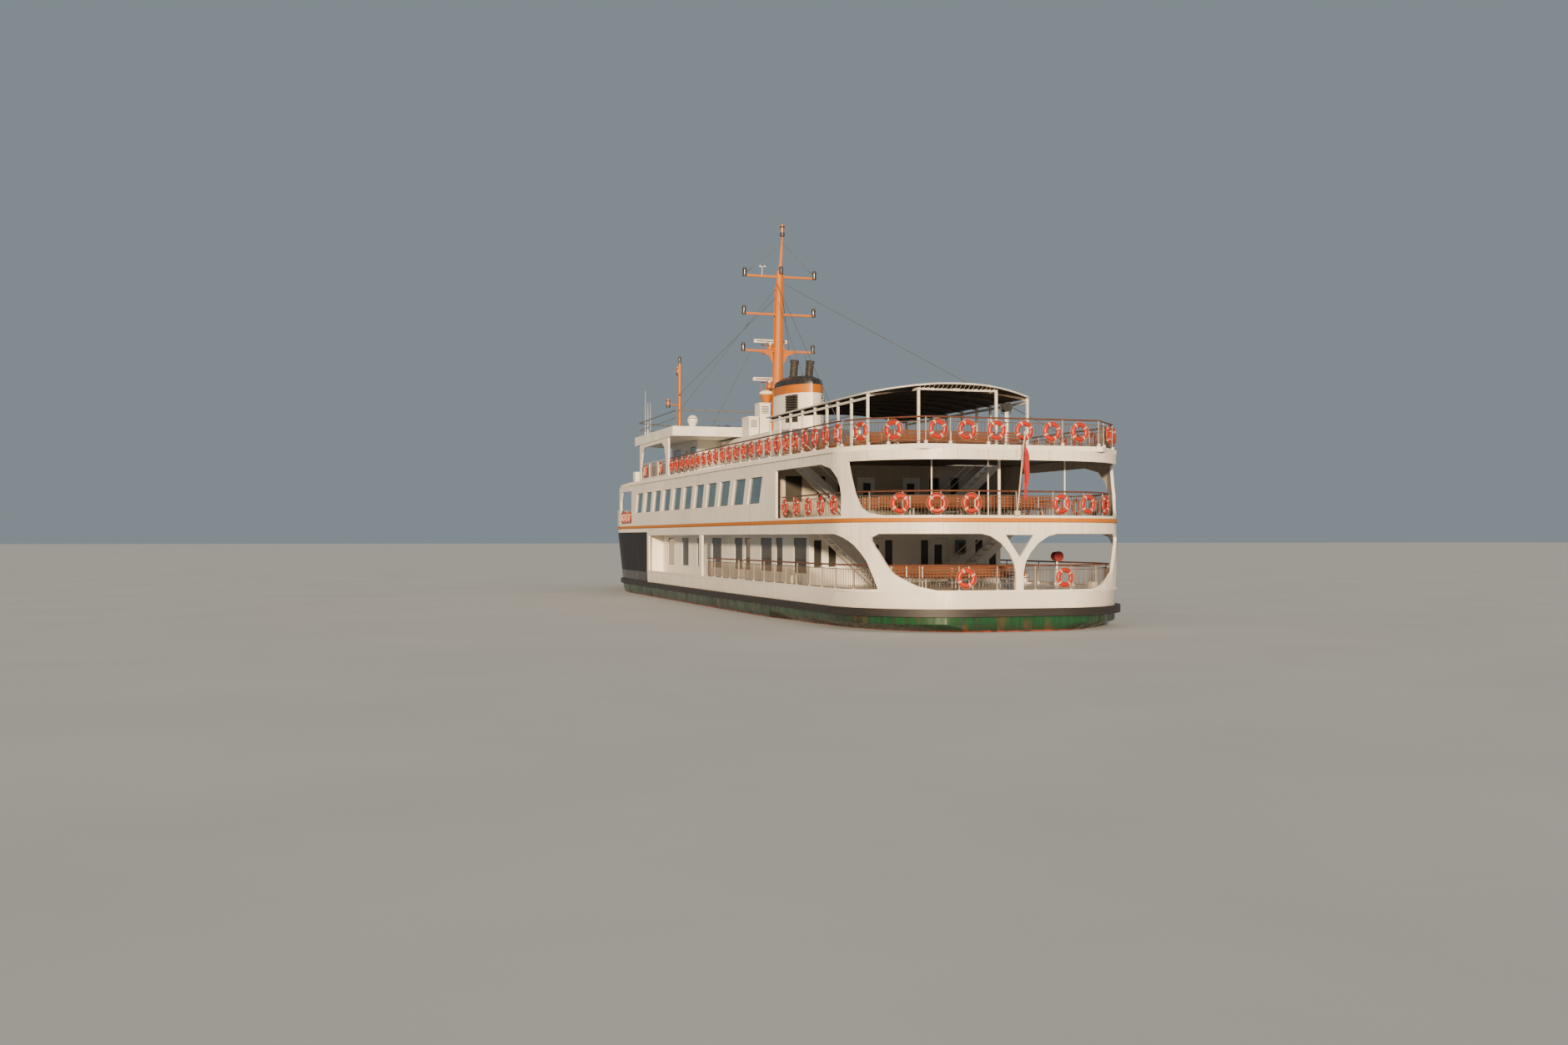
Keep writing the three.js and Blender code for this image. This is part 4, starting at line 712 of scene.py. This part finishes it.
# Near-black glass, which is painted shade for the windows and door lights in the sheltered walls.
paint = Paint("shaded_window_glass", 0.12)
painted_shade_glass = paint.material
paint.colour(paint.mix(paint.cloud(0.8, 4), (0.03, 0.032, 0.03), (0.07, 0.065, 0.055)))
paint.fixed("Specular IOR Level", 0.2)
paint.bump(paint.cloud(3, 2), 0.03, 0.004)
paint = Paint("black_gasket", 0.6)
gasket_finish = paint.material
paint.colour(paint.mix(paint.cloud(12, 4), (0.02, 0.02, 0.02), (0.06, 0.055, 0.05)))
paint.bump(paint.cloud(50, 3), 0.2, 0.002)


def four_cornered(corners):
    """A flat sheet whose corners are given in turn, going round."""
    bpy.ops.object.select_all(action="DESELECT")
    bpy.ops.mesh.primitive_plane_add(size=1)
    piece = bpy.context.object
    # The plane's own vertices run left to right in two rows.
    for vertex, corner in zip((0, 1, 3, 2), corners):
        piece.data.vertices[vertex].co = corner
    return piece


def pane(corners, rim=0.035, thick=0.02, glass=glass_finish):
    """A sheet of glass with its gasket, from four corners in the real ship's metres."""
    piece = four_cornered(corners)
    piece.data.materials.append(glass)
    piece.data.materials.append(gasket_finish)
    bpy.ops.object.mode_set(mode="EDIT")
    bpy.ops.mesh.select_all(action="SELECT")
    bpy.ops.mesh.inset(thickness=rim)
    bpy.ops.object.mode_set(mode="OBJECT")
    middle = sum((Vector(corner) for corner in corners), Vector()) / 4
    nearest = min(piece.data.polygons, key=lambda face: (face.center - middle).length)
    for face in piece.data.polygons:
        face.material_index = 0 if face == nearest else 1
    return modified(piece, "SOLIDIFY", thickness=thick, offset=0, use_even_offset=True)


def upright_pane(axis, at, near, far, low, high, side=1, **look):
    """A standing pane that runs along the x or y axis, mirrored to starboard where the side is -1."""
    span = ((near, low), (far, low), (far, high), (near, high))
    return pane([(a, side * at, z) if axis == "x" else (at, side * a, z) for a, z in span], **look)


# Saloon windows of the upper deck: each pane's foot lies half a metre further forward than its
# head.
first_window, window_pitch, window_count = 18.04, 2.68, 11
for name, side in both_sides:
    pieces = []
    for number in range(window_count):
        s = first_window + window_pitch * number
        corners = []
        for along, z in ((0.49, 5.2), (2.46, 5.2), (1.97, 6.42), (0, 6.42)):
            corners.append((*edge_point(side * (s + along), -0.085), z))
        pieces.append(pane(corners))
    settle(joined("saloon_windows_" + name, pieces), None)

# House windows, by rows of upright panes. Columns: wall, axis along it, place, centres, width, low,
# high, side.
upright_rows = [
    ("main_aft", "y", 11.36, [0.88, -0.88, 3.6, -3.6, 4.29, -4.29], 0.36, 2.3, 3.5, 1),
    ("upper_aft_inner", "y", 13.54, [2.3, -2.3], 0.46, 5.75, 6.42, 1),
    ("upper_aft_middle", "y", 13.54, [3.36, -3.36], 0.42, 5.75, 6.42, 1),
    ("upper_aft_outer", "y", 13.54, [4.7, -4.7], 0.8, 5.25, 6.45, 1),
    ("upper_front", "y", 43.34, [-4, -2.4, -0.8, 0.8, 2.4, 4], 1.1, 5.3, 6.55, 1),
    ("wheelhouse_front", "y", 43.56, [-1.48, -0.74, 0, 0.74, 1.48], 0.62, 8.2, 9.15, 1),
]
# The lower saloon's side windows differ in width: each pair is where a pane starts and ends.
saloon_spans = [(11.7, 13.5), (15.2, 16.2), (16.9, 18.7), (20.5, 21.4), (21.9, 23.3), (25.9, 27.8)]
saloon_spans += [(29.5, 31), (33, 34.5), (36.5, 38)]
for name, side in both_sides:
    upright_rows.append(("wheelhouse_" + name + "_fore", "x", 3.36, [40.9], 1.8, 8.2, 9.15, side))
    upright_rows.append(("wheelhouse_" + name + "_aft", "x", 3.36, [37.0], 1.2, 8.2, 9.15, side))
    cabins = [24.95 + 1.8 * n for n in range(6)]
    upright_rows.append(("officers_" + name, "x", 1.91, cabins, 0.7, 8.1, 8.9, side))
    for number, (start, end) in enumerate(saloon_spans):
        wall = "saloon_lower_%s_%d" % (name, number)
        upright_rows.append((wall, "x", 4.66, [(start + end) / 2], end - start, 2.0, 3.6, side))
for name, axis, at, centres, width, low, high, side in upright_rows:
    # Windows in the sheltered walls take the near-black glass as painted shade.
    glass = painted_shade_glass if name.startswith(("saloon_lower", "main_aft", "upper_aft")) else glass_finish
    pieces = []
    for middle in centres:
        edges = (middle - width / 2, middle + width / 2)
        pieces.append(upright_pane(axis, at, *edges, low, high, side, glass=glass))
    settle(joined("windows_" + name, pieces), None)

# Door lights: small panes in the upper half of each swinging leaf. Columns: deck, axis along the
# leaf, place, near and far edge, foot of the leaf, glass.
light_rows = [
    ("main", "y", 11.3444, 1.36, 1.74, 1.5926, painted_shade_glass),
    ("upper", "y", 13.525, 0.91, 1.29, 4.4626, painted_shade_glass),
    ("wheelhouse", "x", 3.375, 38.41, 38.79, 7.2926, glass_finish),
]
for deck, axis, at, near, far, foot, glass in light_rows:
    for name, side in both_sides:
        light = upright_pane(axis, at, near, far, foot + 0.8, foot + 1.7, side,
                             rim=0.03, thick=0.015, glass=glass)
        light = joined(deck + "_door_light_" + name, [light])
        settle(light, None, deck + "_door_" + name + "_swing_body")

# Benches: varnished wooden slats on white steel frames, seat and back, bolted to the deck.
paint = Paint("varnished_slats", 0.4)
wood_finish = paint.material
grain = paint.cloud(5, 6, 0.3, 0.7, stretch=(14, 0.9, 14))
tone = paint.mix(grain, (0.17, 0.05, 0.018), (0.07, 0.022, 0.01))
tone = paint.mix(paint.cloud(0.9, 3), tone, (0.2, 0.07, 0.027))
paint.colour(tone)
paint.fixed("Coat Weight", 0.3)
paint.bump(grain, 0.3, 0.002)
# Columns: deck, where its rows stand, half their length.
bench_rows = [
    ("main", [4.2, 5.9, 7.6], 2.6),
    ("upper", [3.6, 5.3, 7.0, 8.7], 3.6),
    ("sun", [6, 7.5, 9, 10.4, 14.6, 16.2, 17.8, 19.4], 3.2),
]
for deck, rows, half in bench_rows:
    base = deck_height[deck]
    slat_places = [(0.02 + 0.1 * n, 0.43, 0.08, 0.025) for n in range(4)]
    back_places = [(0.44, 0.5 + 0.12 * n, 0.025, 0.09) for n in range(4)]
    seats = []
    for x, z, wide, tall in slat_places + back_places:
        seats.append(coat(crate((x, -half, base + z), (x + wide, half, base + z + tall), 0.008), wood_finish))
    for share in (-0.8, 0, 0.8):
        y = share * half
        for low, high in (((0.05, 0, 0.002), (0.09, 0.04, 0.42)), ((0.42, 0, 0.002), (0.46, 0.04, 0.93)),
                          ((0.05, 0, 0.38), (0.46, 0.04, 0.425))):
            corner_low = (low[0], y - 0.02, base + low[2])
            corner_high = (high[0], y + 0.02, base + high[2])
            seats.append(coat(crate(corner_low, corner_high, 0.006), foot_white))
    pick(*seats)
    bpy.ops.object.join()
    pieces = copies(seats[0], [Matrix.Translation((x, 0, 0)) for x in rows])
    bpy.data.objects.remove(seats[0])
    settle(joined(deck + "_benches_slatted", pieces), None, stands_for=[deck + "_benches"])

# Funnel: an oval steel casing, white with an orange band and a black domed cap, a tall louvre
# on each side, and two fat black exhaust pipes that lean aft out of the cap.


def funnel_finish():
    paint = Paint("funnel_paint", 0.38)
    split = paint.axes()
    streaks = paint.cloud(3.6, 6, 0.5, 0.8, stretch=(6, 6, 0.5))
    white = paint.mix(paint.math("MULTIPLY", streaks, 0.35), (0.85, 0.8, 0.71), (0.4, 0.36, 0.32))
    orange = paint.mix(streaks, (0.48, 0.14, 0.001), (0.36, 0.11, 0.004))
    black = paint.mix(streaks, (0.02, 0.02, 0.022), (0.07, 0.06, 0.055))
    band = paint.math("GREATER_THAN", split["Z"], 5.72)
    cap = paint.math("GREATER_THAN", split["Z"], 5.95)
    paint.colour(paint.mix(cap, paint.mix(band, white, orange), black))
    paint.bump(paint.cloud(2.2, 3), 0.15, 0.01)
    return paint.material


dress("funnel", "funnel_casing", funnel_finish(), "white_paint", 0.006, smooth=40)

# Flag and staff: a plain red cloth hoisted on a raked wooden staff at the stern rail. It hangs
# limp, gathered into folds below its upper corner.
paint = Paint("plain_red_cloth", 0.85)
cloth_finish = paint.material
weave = paint.wire("TexWave", {"Vector": paint.place, "Scale": 300.0}, wave_type="BANDS").outputs["Fac"]
paint.colour(paint.mix(paint.cloud(4, 4), (0.45, 0.01, 0.01), (0.28, 0.007, 0.008)))
paint.fixed("Sheen Weight", 0.3)
paint.bump(weave, 0.1, 0.001)
flag_hoist, flag_fly = 1.0, 1.35
bpy.ops.object.select_all(action="DESELECT")
bpy.ops.mesh.primitive_grid_add(x_subdivisions=40, y_subdivisions=36, size=1)
flag = bpy.context.object
staff_foot, staff_head = Vector((-0.05, 0.15, 4.47)), Vector((-0.75, 0.15, 7.6))
staff_run = (staff_head - staff_foot).normalized()
hoist_top = staff_foot + staff_run * 2.92 + Vector((-0.045, 0, 0))
folds = 4
fold_depth = 0.095
for vertex in flag.data.vertices:
    down_hoist = 0.5 - vertex.co.x
    out = vertex.co.y + 0.5
    start = hoist_top - staff_run * flag_hoist * down_hoist
    bend = min(out / 0.45, 1)
    drop = Vector((-0.5 * bend + 0.3 * bend * bend - 0.06 * out, 0, 0))
    fall = Vector((0, 0, -flag_fly * out * (0.86 + 0.14 * bend)))
    settled = min(out / 0.3, 1)
    wave = math.sin(2 * math.pi * (folds * down_hoist + 0.35 * out)) * (0.6 + 0.4 * math.cos(5 * down_hoist))
    sway = Vector((0.03 * math.cos(9 * down_hoist), fold_depth * wave, 0)) * settled
    vertex.co = start + drop + fall + sway
flag = joined("flag_cloth", [modified(flag, "SOLIDIFY", thickness=0.008)])
settle(flag, cloth_finish, stands_for=["flag"], smooth=180)

# Canopy: one sheet of canvas stretched over the arched bows that sags a little between them, pale
# above; its underside is painted dark brown as painted shade. Its after edge is bowed.
paint = Paint("canopy_canvas", 0.8)
canvas_finish = paint.material
up = paint.facing_up()
over = paint.mix(paint.cloud(1.6, 5), (0.62, 0.6, 0.55), (0.45, 0.43, 0.39))
# The underside's dark brown is painted shade; faces turned down take it.
below = paint.mix(paint.cloud(1.2, 5), (0.06, 0.045, 0.036), (0.11, 0.08, 0.06))
paint.colour(paint.mix(paint.math("GREATER_THAN", up, 0.0), below, over))
paint.bump(paint.wire("TexWave", {"Vector": paint.place, "Scale": 120.0}).outputs["Fac"], 0.1, 0.001)
canopy_from, canopy_to, canopy_half, canopy_rise, canopy_edge = 5.5, 20.6, 3.8, 0.4, 9.63
bow_places = [6.65, 8.6, 10.3, 11.75, 13.4, 15.2, 17, 18.7, 20.3]


def canopy_aft(y):
    """Where the canopy's after edge lies: bowed aft in its middle."""
    return canopy_from + 1.1 * max(0, (abs(y) - 1) / 2.8) ** 1.3


bpy.ops.object.select_all(action="DESELECT")
bpy.ops.mesh.primitive_grid_add(x_subdivisions=96, y_subdivisions=20, size=1)
canopy = bpy.context.object
for vertex in canopy.data.vertices:
    share = vertex.co.y * 2
    aft = canopy_aft(share * canopy_half)
    x = aft + (canopy_to - aft) * (vertex.co.x + 0.5)
    nearest = min(abs(x - bow) for bow in bow_places)
    sag = 0.03 * math.sin(min(nearest, 1) * math.pi / 2) ** 2 * (1 - share ** 2)
    vertex.co = (x, share * canopy_half, canopy_edge + 0.045 + canopy_rise * (1 - share ** 2) - sag)
canopy = joined("canopy_canvas", [modified(canopy, "SOLIDIFY", thickness=0.012)])
settle(canopy, canvas_finish, stands_for=["canopy"], smooth=60)

# Canopy frame: welded steel posts and beams in white, with the bows under the canvas painted dark
# brown as painted shade, like the canvas's underside.
paint = Paint("canopy_frame_paint", 0.5)
frame_paint = paint.material
split = paint.axes()
inboard = paint.math("LESS_THAN", paint.math("ABSOLUTE", split["Y"]), 1.81)
forward = paint.math("GREATER_THAN", split["X"], -11.85)
high = paint.math("GREATER_THAN", split["Z"], 4.79)
shaded_under_canvas = paint.math("MULTIPLY", high, paint.math("MULTIPLY", inboard, forward))
pale = paint.mix(paint.cloud(7, 5), (0.8, 0.78, 0.73), (0.6, 0.57, 0.52))
# The bows' dark brown is painted shade under the canvas.
dark = paint.mix(paint.cloud(5, 5), (0.05, 0.04, 0.032), (0.09, 0.07, 0.055))
paint.colour(paint.mix(shaded_under_canvas, pale, dark))
paint.bump(paint.cloud(40, 3), 0.15, 0.002)
dress("canopy_frame", "canopy_frame_steel", frame_paint, "white_paint")

# Canopy edge: a pale tube sewn into the hem all round, and at the aft end a straight pipe that the
# hem is laced to, with the slack of the white line wound round the pipe in bunches.
hem_white = steel_finish("hem_tube_paint", (0.78, 0.75, 0.69), 0.15)
lashing_white = steel_finish("lashing_cord", (0.75, 0.72, 0.66), 0.05, 0.9)


def canopy_height(y):
    return canopy_edge + 0.045 + canopy_rise * (1 - (y / canopy_half) ** 2)


hem = [(x, canopy_half, canopy_height(canopy_half)) for x in spread(6.6, canopy_to, 12)]
hem += [(canopy_to, y, canopy_height(y)) for y in spread(3.5, -3.5, 15)]
hem += [(x, -canopy_half, canopy_height(canopy_half)) for x in spread(canopy_to, 6.6, 12)]
hem += [(canopy_aft(y), y, canopy_height(y)) for y in spread(-3.5, 3.5, 15)]
hem_tube = coat(tube(hem, 0.04, 8, closed=True), hem_white)
settle(joined("canopy_hem_tube", [hem_tube]), None, smooth=60)
pieces = []
hand = random.Random(11)
for y in spread(-1.7, 1.7, 18):
    hem_point = (canopy_aft(y) + 0.02, y, canopy_height(y) - 0.02)
    pieces.append(rod(hem_point, (5.75, y + 0.03, 9.84), 0.006, 5))
    bunch = hand.uniform(0.05, 0.16)
    pieces.append(rod((5.75, y, 9.83), (5.75, y + bunch, 9.83), hand.uniform(0.05, 0.065), 8))
pieces.append(rod((5.75, -1.8, 9.82), (5.75, 1.8, 9.82), 0.04, 8))
for y in (-3.7, 3.7):
    for x in bow_places:
        pieces.append(rod((x, y, 9.56), (x, y, 9.6), 0.075, 8))
for piece in pieces:
    coat(piece, lashing_white)
settle(joined("canopy_lashings", pieces), None, smooth=60)

# Main mast: a tapered orange steel pole with three yards, gussets under the lowest, platforms
# for the radar scanners, a ladder up its forward side, and black navigation lamps.
mast_orange = weathered_paint("mast_orange_paint", (0.5, 0.14, 0.001), 0.45, grime=0.35, rust=0.35)
for node in ("main_mast", "foremast"):
    dress(node, node + "_spar", mast_orange, "orange_paint", smooth=40)
paint = Paint("lamp_housing_black", 0.45)
lamp_black = paint.material
paint.colour(paint.mix(paint.cloud(25, 5), (0.018, 0.018, 0.02), (0.07, 0.06, 0.05)))
paint.bump(paint.cloud(60, 3), 0.15, 0.002)
lens_clear = steel_finish("lamp_lens_glass", (0.35, 0.4, 0.4), 0.0, 0.08)
lens_dark = steel_finish("dark_lens_glass", (0.035, 0.038, 0.038), 0.0, 0.1)


def mast_x(z):
    """Where the raked mast's middle lies at a height."""
    return 30.9 - (z - 9.5) / 9.4 * 0.6


def ball(middle, radius, segments, rings, flat=1.0):
    bpy.ops.mesh.primitive_uv_sphere_add(segments=segments, ring_count=rings, radius=radius)
    piece = bpy.context.object
    piece.data.transform(Matrix.Translation(middle) @ Matrix.Diagonal((1, 1, flat, 1)))
    return piece


# Drum lamps, each a black base and cap with a dark lens and a bead between. Columns: place, radius,
# height.
lamp_rows = [(mast_x(z), y, z - 0.06, 0.125, 0.5) for z in (14.35, 16.45, 18.6) for y in (-2.1, 2.1)]
lamp_rows += [(29.79, 0.01, 20.84, 0.135, 0.7), (30.05, 0, 18.75, 0.12, 0.4), (54.45, 0, 15.4, 0.15, 0.62)]
lamp_rows += [(54, 0.85, 13.0, 0.15, 0.62), (54, 0, 16.2, 0.11, 0.5)]
pieces = []
for x, y, z, radius, tall in lamp_rows:
    for low, high, wide, head, look in ((0, 0.3, 1, 1, lamp_black), (0.3, 0.72, 0.86, 0.86, lens_dark),
                                        (0.72, 1, 1, 0.7, lamp_black), (0.69, 0.75, 1.12, 1.12, lamp_black)):
        drum = rod((x, y, z + low * tall), (x, y, z + high * tall), radius * wide, 12, radius * head)
        pieces.append(coat(drum, look))
settle(joined("navigation_lamps", pieces), None, smooth=40)

pieces = []
for _, side in both_sides:
    outline = ((0.3, 13.6), (0.34, 14.32), (1.15, 14.32), (0.55, 14.1))
    gusset = four_cornered([(mast_x(14.3), side * y, z) for y, z in outline])
    pieces.append(modified(gusset, "SOLIDIFY", thickness=0.03, offset=0))
for number in range(24):
    z = 9.9 + 0.35 * number
    half = 0.37 - 0.16 * (z - 9.5) / 9.4
    x = mast_x(z) + half + 0.06
    pieces.append(rod((x, -0.17, z), (x, 0.17, z), 0.016, 5))
for y in (-0.18, 0.18):
    low, high = 9.7, 18.1
    pieces.append(rod((mast_x(low) + 0.42, y, low), (mast_x(high) + 0.27, y, high), 0.022, 6))
for z in (14.5, 12.3):
    rail = [(30.7, 0.38, z + 0.45), (32.7, 0.38, z + 0.45), (32.7, -0.38, z + 0.45), (30.7, -0.38, z + 0.45)]
    pieces.append(tube(rail, 0.016, 6))
    for x, y, _ in rail + [(31.7, 0.38, 0), (31.7, -0.38, 0)]:
        pieces.append(rod((x, y, z - 0.02), (x, y, z + 0.45), 0.014, 6))
pieces.append(rod((31.5, 0.42, 11.075), (31.5, 0.42, 12.025), 0.12, 24, 0.42))
for piece in pieces:
    coat(piece, mast_orange)
pieces.append(coat(ball((31.5, 0.42, 12.0), 0.43, 24, 12, 0.45), white_trim))
pieces.append(coat(rod((30.35, 1.05, 18.6), (30.35, 1.05, 19.15), 0.015, 6), white_trim))
for turn in range(3):
    angle = turn * math.tau / 3
    tip = (30.35 + 0.16 * math.cos(angle), 1.05 + 0.16 * math.sin(angle), 19.15)
    pieces.append(coat(rod((30.35, 1.05, 19.15), tip, 0.01, 5), white_trim))
    pieces.append(coat(ball(tip, 0.055, 10, 6), white_trim))
settle(joined("mast_fittings", pieces), None, smooth=35)

# Stays and halyards: thin galvanised wires from the mast heads to the decks, taut, each with a
# small turnbuckle at its foot.
wire_steel = steel_finish("stay_wire_steel", (0.24, 0.24, 0.23), 0.3, 0.4, 0.6)
stay_rows = [((30.55, 0.2, 17.4), (53.9, 0.1, 13.9)), ((30.3, 0.1, 17.2), (25.4, 0.2, 12.3))]
for _, side in both_sides:
    stay_rows += [
        ((29.85, 0, 20.5), (30.3, side * 2.1, 18.7)),
        ((30.55, side * 0.2, 17.9), (40.5, side * 4.6, 10.08)),
        ((30.2, side * 0.2, 18.2), (4.0, side * 5.5, 7.22)),
        ((30.6, side * 1.6, 14.35), (33.5, side * 3.2, 10.08)),
    ]
pieces = []
for start, end in stay_rows:
    pieces.append(coat(rod(start, end, 0.016, 5), wire_steel))
    buckle = (Vector(start) - Vector(end)).normalized() * 0.45
    pieces.append(coat(rod(end, Vector(end) + buckle, 0.035, 6), wire_steel))
settle(joined("stays_and_halyards", pieces), None, smooth=60)

# Radar scanners: long white plastic housings with a dark strip along their after face. Each turns
# on a gearbox bolted to its platform on the mast.
for level, x, z in (("upper", 32.1, 14.5), ("lower", 32.3, 12.3)):
    scanner_body = "radar_" + level + "_turn_body"
    dress("radar_" + level, "radar_scanner_" + level, white_trim, "white_paint", 0.012, scanner_body)
    slot_strip = crate((x - 0.127, -0.9, z + 0.57), (x - 0.119, 0.9, z + 0.63), 0.003)
    strip = joined("radar_slot_strip_" + level, [coat(slot_strip, lamp_black)])
    settle(strip, None, scanner_body)

# Flagstaff: a varnished wooden pole raked aft in a shoe on the deck's edge, with a round truck
# fixed on its head.
staff_finish = steel_finish("staff_varnish", (0.62, 0.52, 0.4), 0.2)
dress("flagstaff", "flagstaff_pole", staff_finish, "wood", 0.002)
truck = coat(ball(staff_head, 0.06, 16, 10), staff_finish)
settle(joined("flagstaff_truck", [truck]), None, smooth=60)

# Funnel fittings: a black louvre of slats before a dark pane on each side of the casing, and two
# fat exhaust pipes with a collar at the foot and a rim at the mouth.
pieces = []
for y in (0.45, -0.45):
    base, tip = Vector((26.6, y, 12.0)), Vector((26.2, y, 13.3))
    along = (tip - base).normalized()
    pieces.append(rod(base + along * 0.3, tip + along * 0.012, 0.212, 24))
    pieces.append(rod(tip - along * 0.08, tip + along * 0.02, 0.24, 24))
    pieces.append(rod(tip, tip + along * 0.024, 0.16, 24, 0.1))
    pieces.append(rod(base + along * 0.35, base + along * 0.45, 0.26, 24))
for _, side in both_sides:
    backing = [(25.0, side * 0.665, 9.87), (25.84, side * 1.0, 9.87)]
    backing += [(x, y, 11.34) for x, y, z in reversed(backing)]
    pieces.append(pane(backing, 0.03, 0.02))
    half_slat = Vector((0.93, side * 0.37, 0)) * 0.44
    for number in range(11):
        middle = Vector((25.4, side * 0.93, 9.93 + 0.135 * number))
        pieces.append(rod(middle - half_slat - Vector((0, 0, 0.02)), middle + half_slat, 0.055, 6))
for piece in pieces:
    coat(piece, lamp_black)
settle(joined("funnel_fittings", pieces), None, smooth=40)

# Searchlight: a black steel drum with a rim round its glass, which faces aft. It is held in a fork
# on a post at the stern.
pieces = []
for aft, fore, radius, look in ((1.01, 1.39, 0.175, lamp_black), (0.985, 1.02, 0.19, lamp_black),
                                (0.975, 0.99, 0.16, lens_dark)):
    pieces.append(coat(rod((aft, 0, 8.72), (fore, 0, 8.72), radius, 24), look))
fork = [(1.2, -0.21, 8.75), (1.2, -0.21, 8.5), (1.2, 0, 8.46), (1.2, 0.21, 8.5), (1.2, 0.21, 8.75)]
pieces.append(coat(tube(fork, 0.02, 6), lamp_black))
settle(joined("searchlight_head", pieces), None, smooth=40)

# Deck gear: a domed satellite aerial, whip aerials and a rolled canvas bundle on the bridge roof,
# lids and slats of the vent trunks, lockers, a hose reel and ceiling lamps, all bolted down.
bundle_blue = steel_finish("bundle_canvas", (0.07, 0.09, 0.12), 0.1, 0.9)
reel_red = steel_finish("reel_cover_red", (0.32, 0.03, 0.03), 0.2, 0.6)
cabinet_grey = steel_finish("cabinet_grey_blue", (0.12, 0.17, 0.2), 0.15, 0.4)
pieces = [coat(ball((40, 2.65, 11.0), 0.335, 32, 16), white_trim)]
pieces.append(coat(rod((40, 2.65, 10.58), (40, 2.65, 10.8), 0.2, 24, 0.27), white_trim))
for x, y, top in ((43.8, 4.5, 12.4), (42.6, 5.1, 13.0), (41.0, 5.3, 12.1), (42.0, -4.8, 12.8)):
    pieces.append(coat(rod((x, y, 10.04), (x, y, 10.4), 0.035, 8), white_trim))
    pieces.append(coat(rod((x, y, 10.4), (x, y, top), 0.016, 6, 0.006), white_trim))
for x, y, z, long in ((37.9, 1.0, 10.32, 0.34), (38.1, 1.45, 10.3, 0.3), (37.8, 1.75, 10.25, 0.24)):
    bpy.ops.mesh.primitive_ico_sphere_add(subdivisions=4, radius=0.3)
    roll = bpy.context.object
    for vertex in roll.data.vertices:
        crease = 1 + 0.09 * math.sin(9 * vertex.co.x) * math.sin(7 * vertex.co.z + 4 * vertex.co.y)
        vertex.co = Vector((vertex.co.x * 1.2, vertex.co.y * long / 0.3, vertex.co.z * 0.9)) * crease
    roll.data.transform(Matrix.Translation((x, y, z)))
    pieces.append(coat(roll, bundle_blue))
for _, side in both_sides:
    for x0, x1, y0, y1, top in ((30.2, 31.2, 0.6, 1.22, 11.3), (30.1, 31.5, 1.32, 1.9, 10.5)):
        low, high = sorted((side * y0, side * y1))
        lid = crate((x0 - 0.04, low - 0.04, top - 0.05), (x1 + 0.04, high + 0.04, top + 0.03), 0.02)
        pieces.append(coat(lid, white_trim))
        for number in range(5):
            z = top - 0.22 - 0.09 * number
            slat = crate((x0 - 0.012, low + 0.1, z), (x0 + 0.02, high - 0.1, z + 0.045), 0.005)
            pieces.append(coat(slat, lamp_black))
# Columns: low corner, high corner, rounding, finish.
box_rows = [
    ((46.5, 4.3, 7.202), (47.3, 4.9, 8.0), 0.04, white_trim),
    ((2.0, -4.5, 1.502), (2.35, -4.2, 1.82), 0.03, white_trim),
    ((11.03, -2.82, 2.85), (11.318, -2.38, 3.5), 0.03, cabinet_grey),
    ((11.02, -2.74, 2.95), (11.034, -2.46, 3.38), 0.005, lamp_black),
]
for low, high, rounding, look in box_rows:
    pieces.append(coat(crate(low, high, rounding), look))
pieces.append(coat(rod((6.4, -5.0, 1.502), (6.4, -5.0, 2.62), 0.05, 10), foot_white))
pieces.append(coat(rod((6.24, -5.0, 2.8), (6.56, -5.0, 2.8), 0.2, 24), reel_red))
pieces.append(coat(rod((6.2, -5.0, 2.8), (6.6, -5.0, 2.8), 0.22, 24, 0.2), reel_red))
for x, y in ((1.6, 3.3), (1.6, -3.3), (6.5, 0), (6.5, 3.6), (6.5, -3.6)):
    for ceiling in (6.998, 4.198):
        pieces.append(coat(rod((x, y, ceiling - 0.06), (x, y, ceiling), 0.12, 16, 0.14), lens_clear))
        pieces.append(coat(rod((x, y, ceiling - 0.02), (x, y, ceiling), 0.17, 16), foot_white))
settle(joined("deck_gear", pieces), None, smooth=35)

for pattern in (baluster, stanchion, foot_block, life_ring):
    bpy.data.objects.remove(pattern)
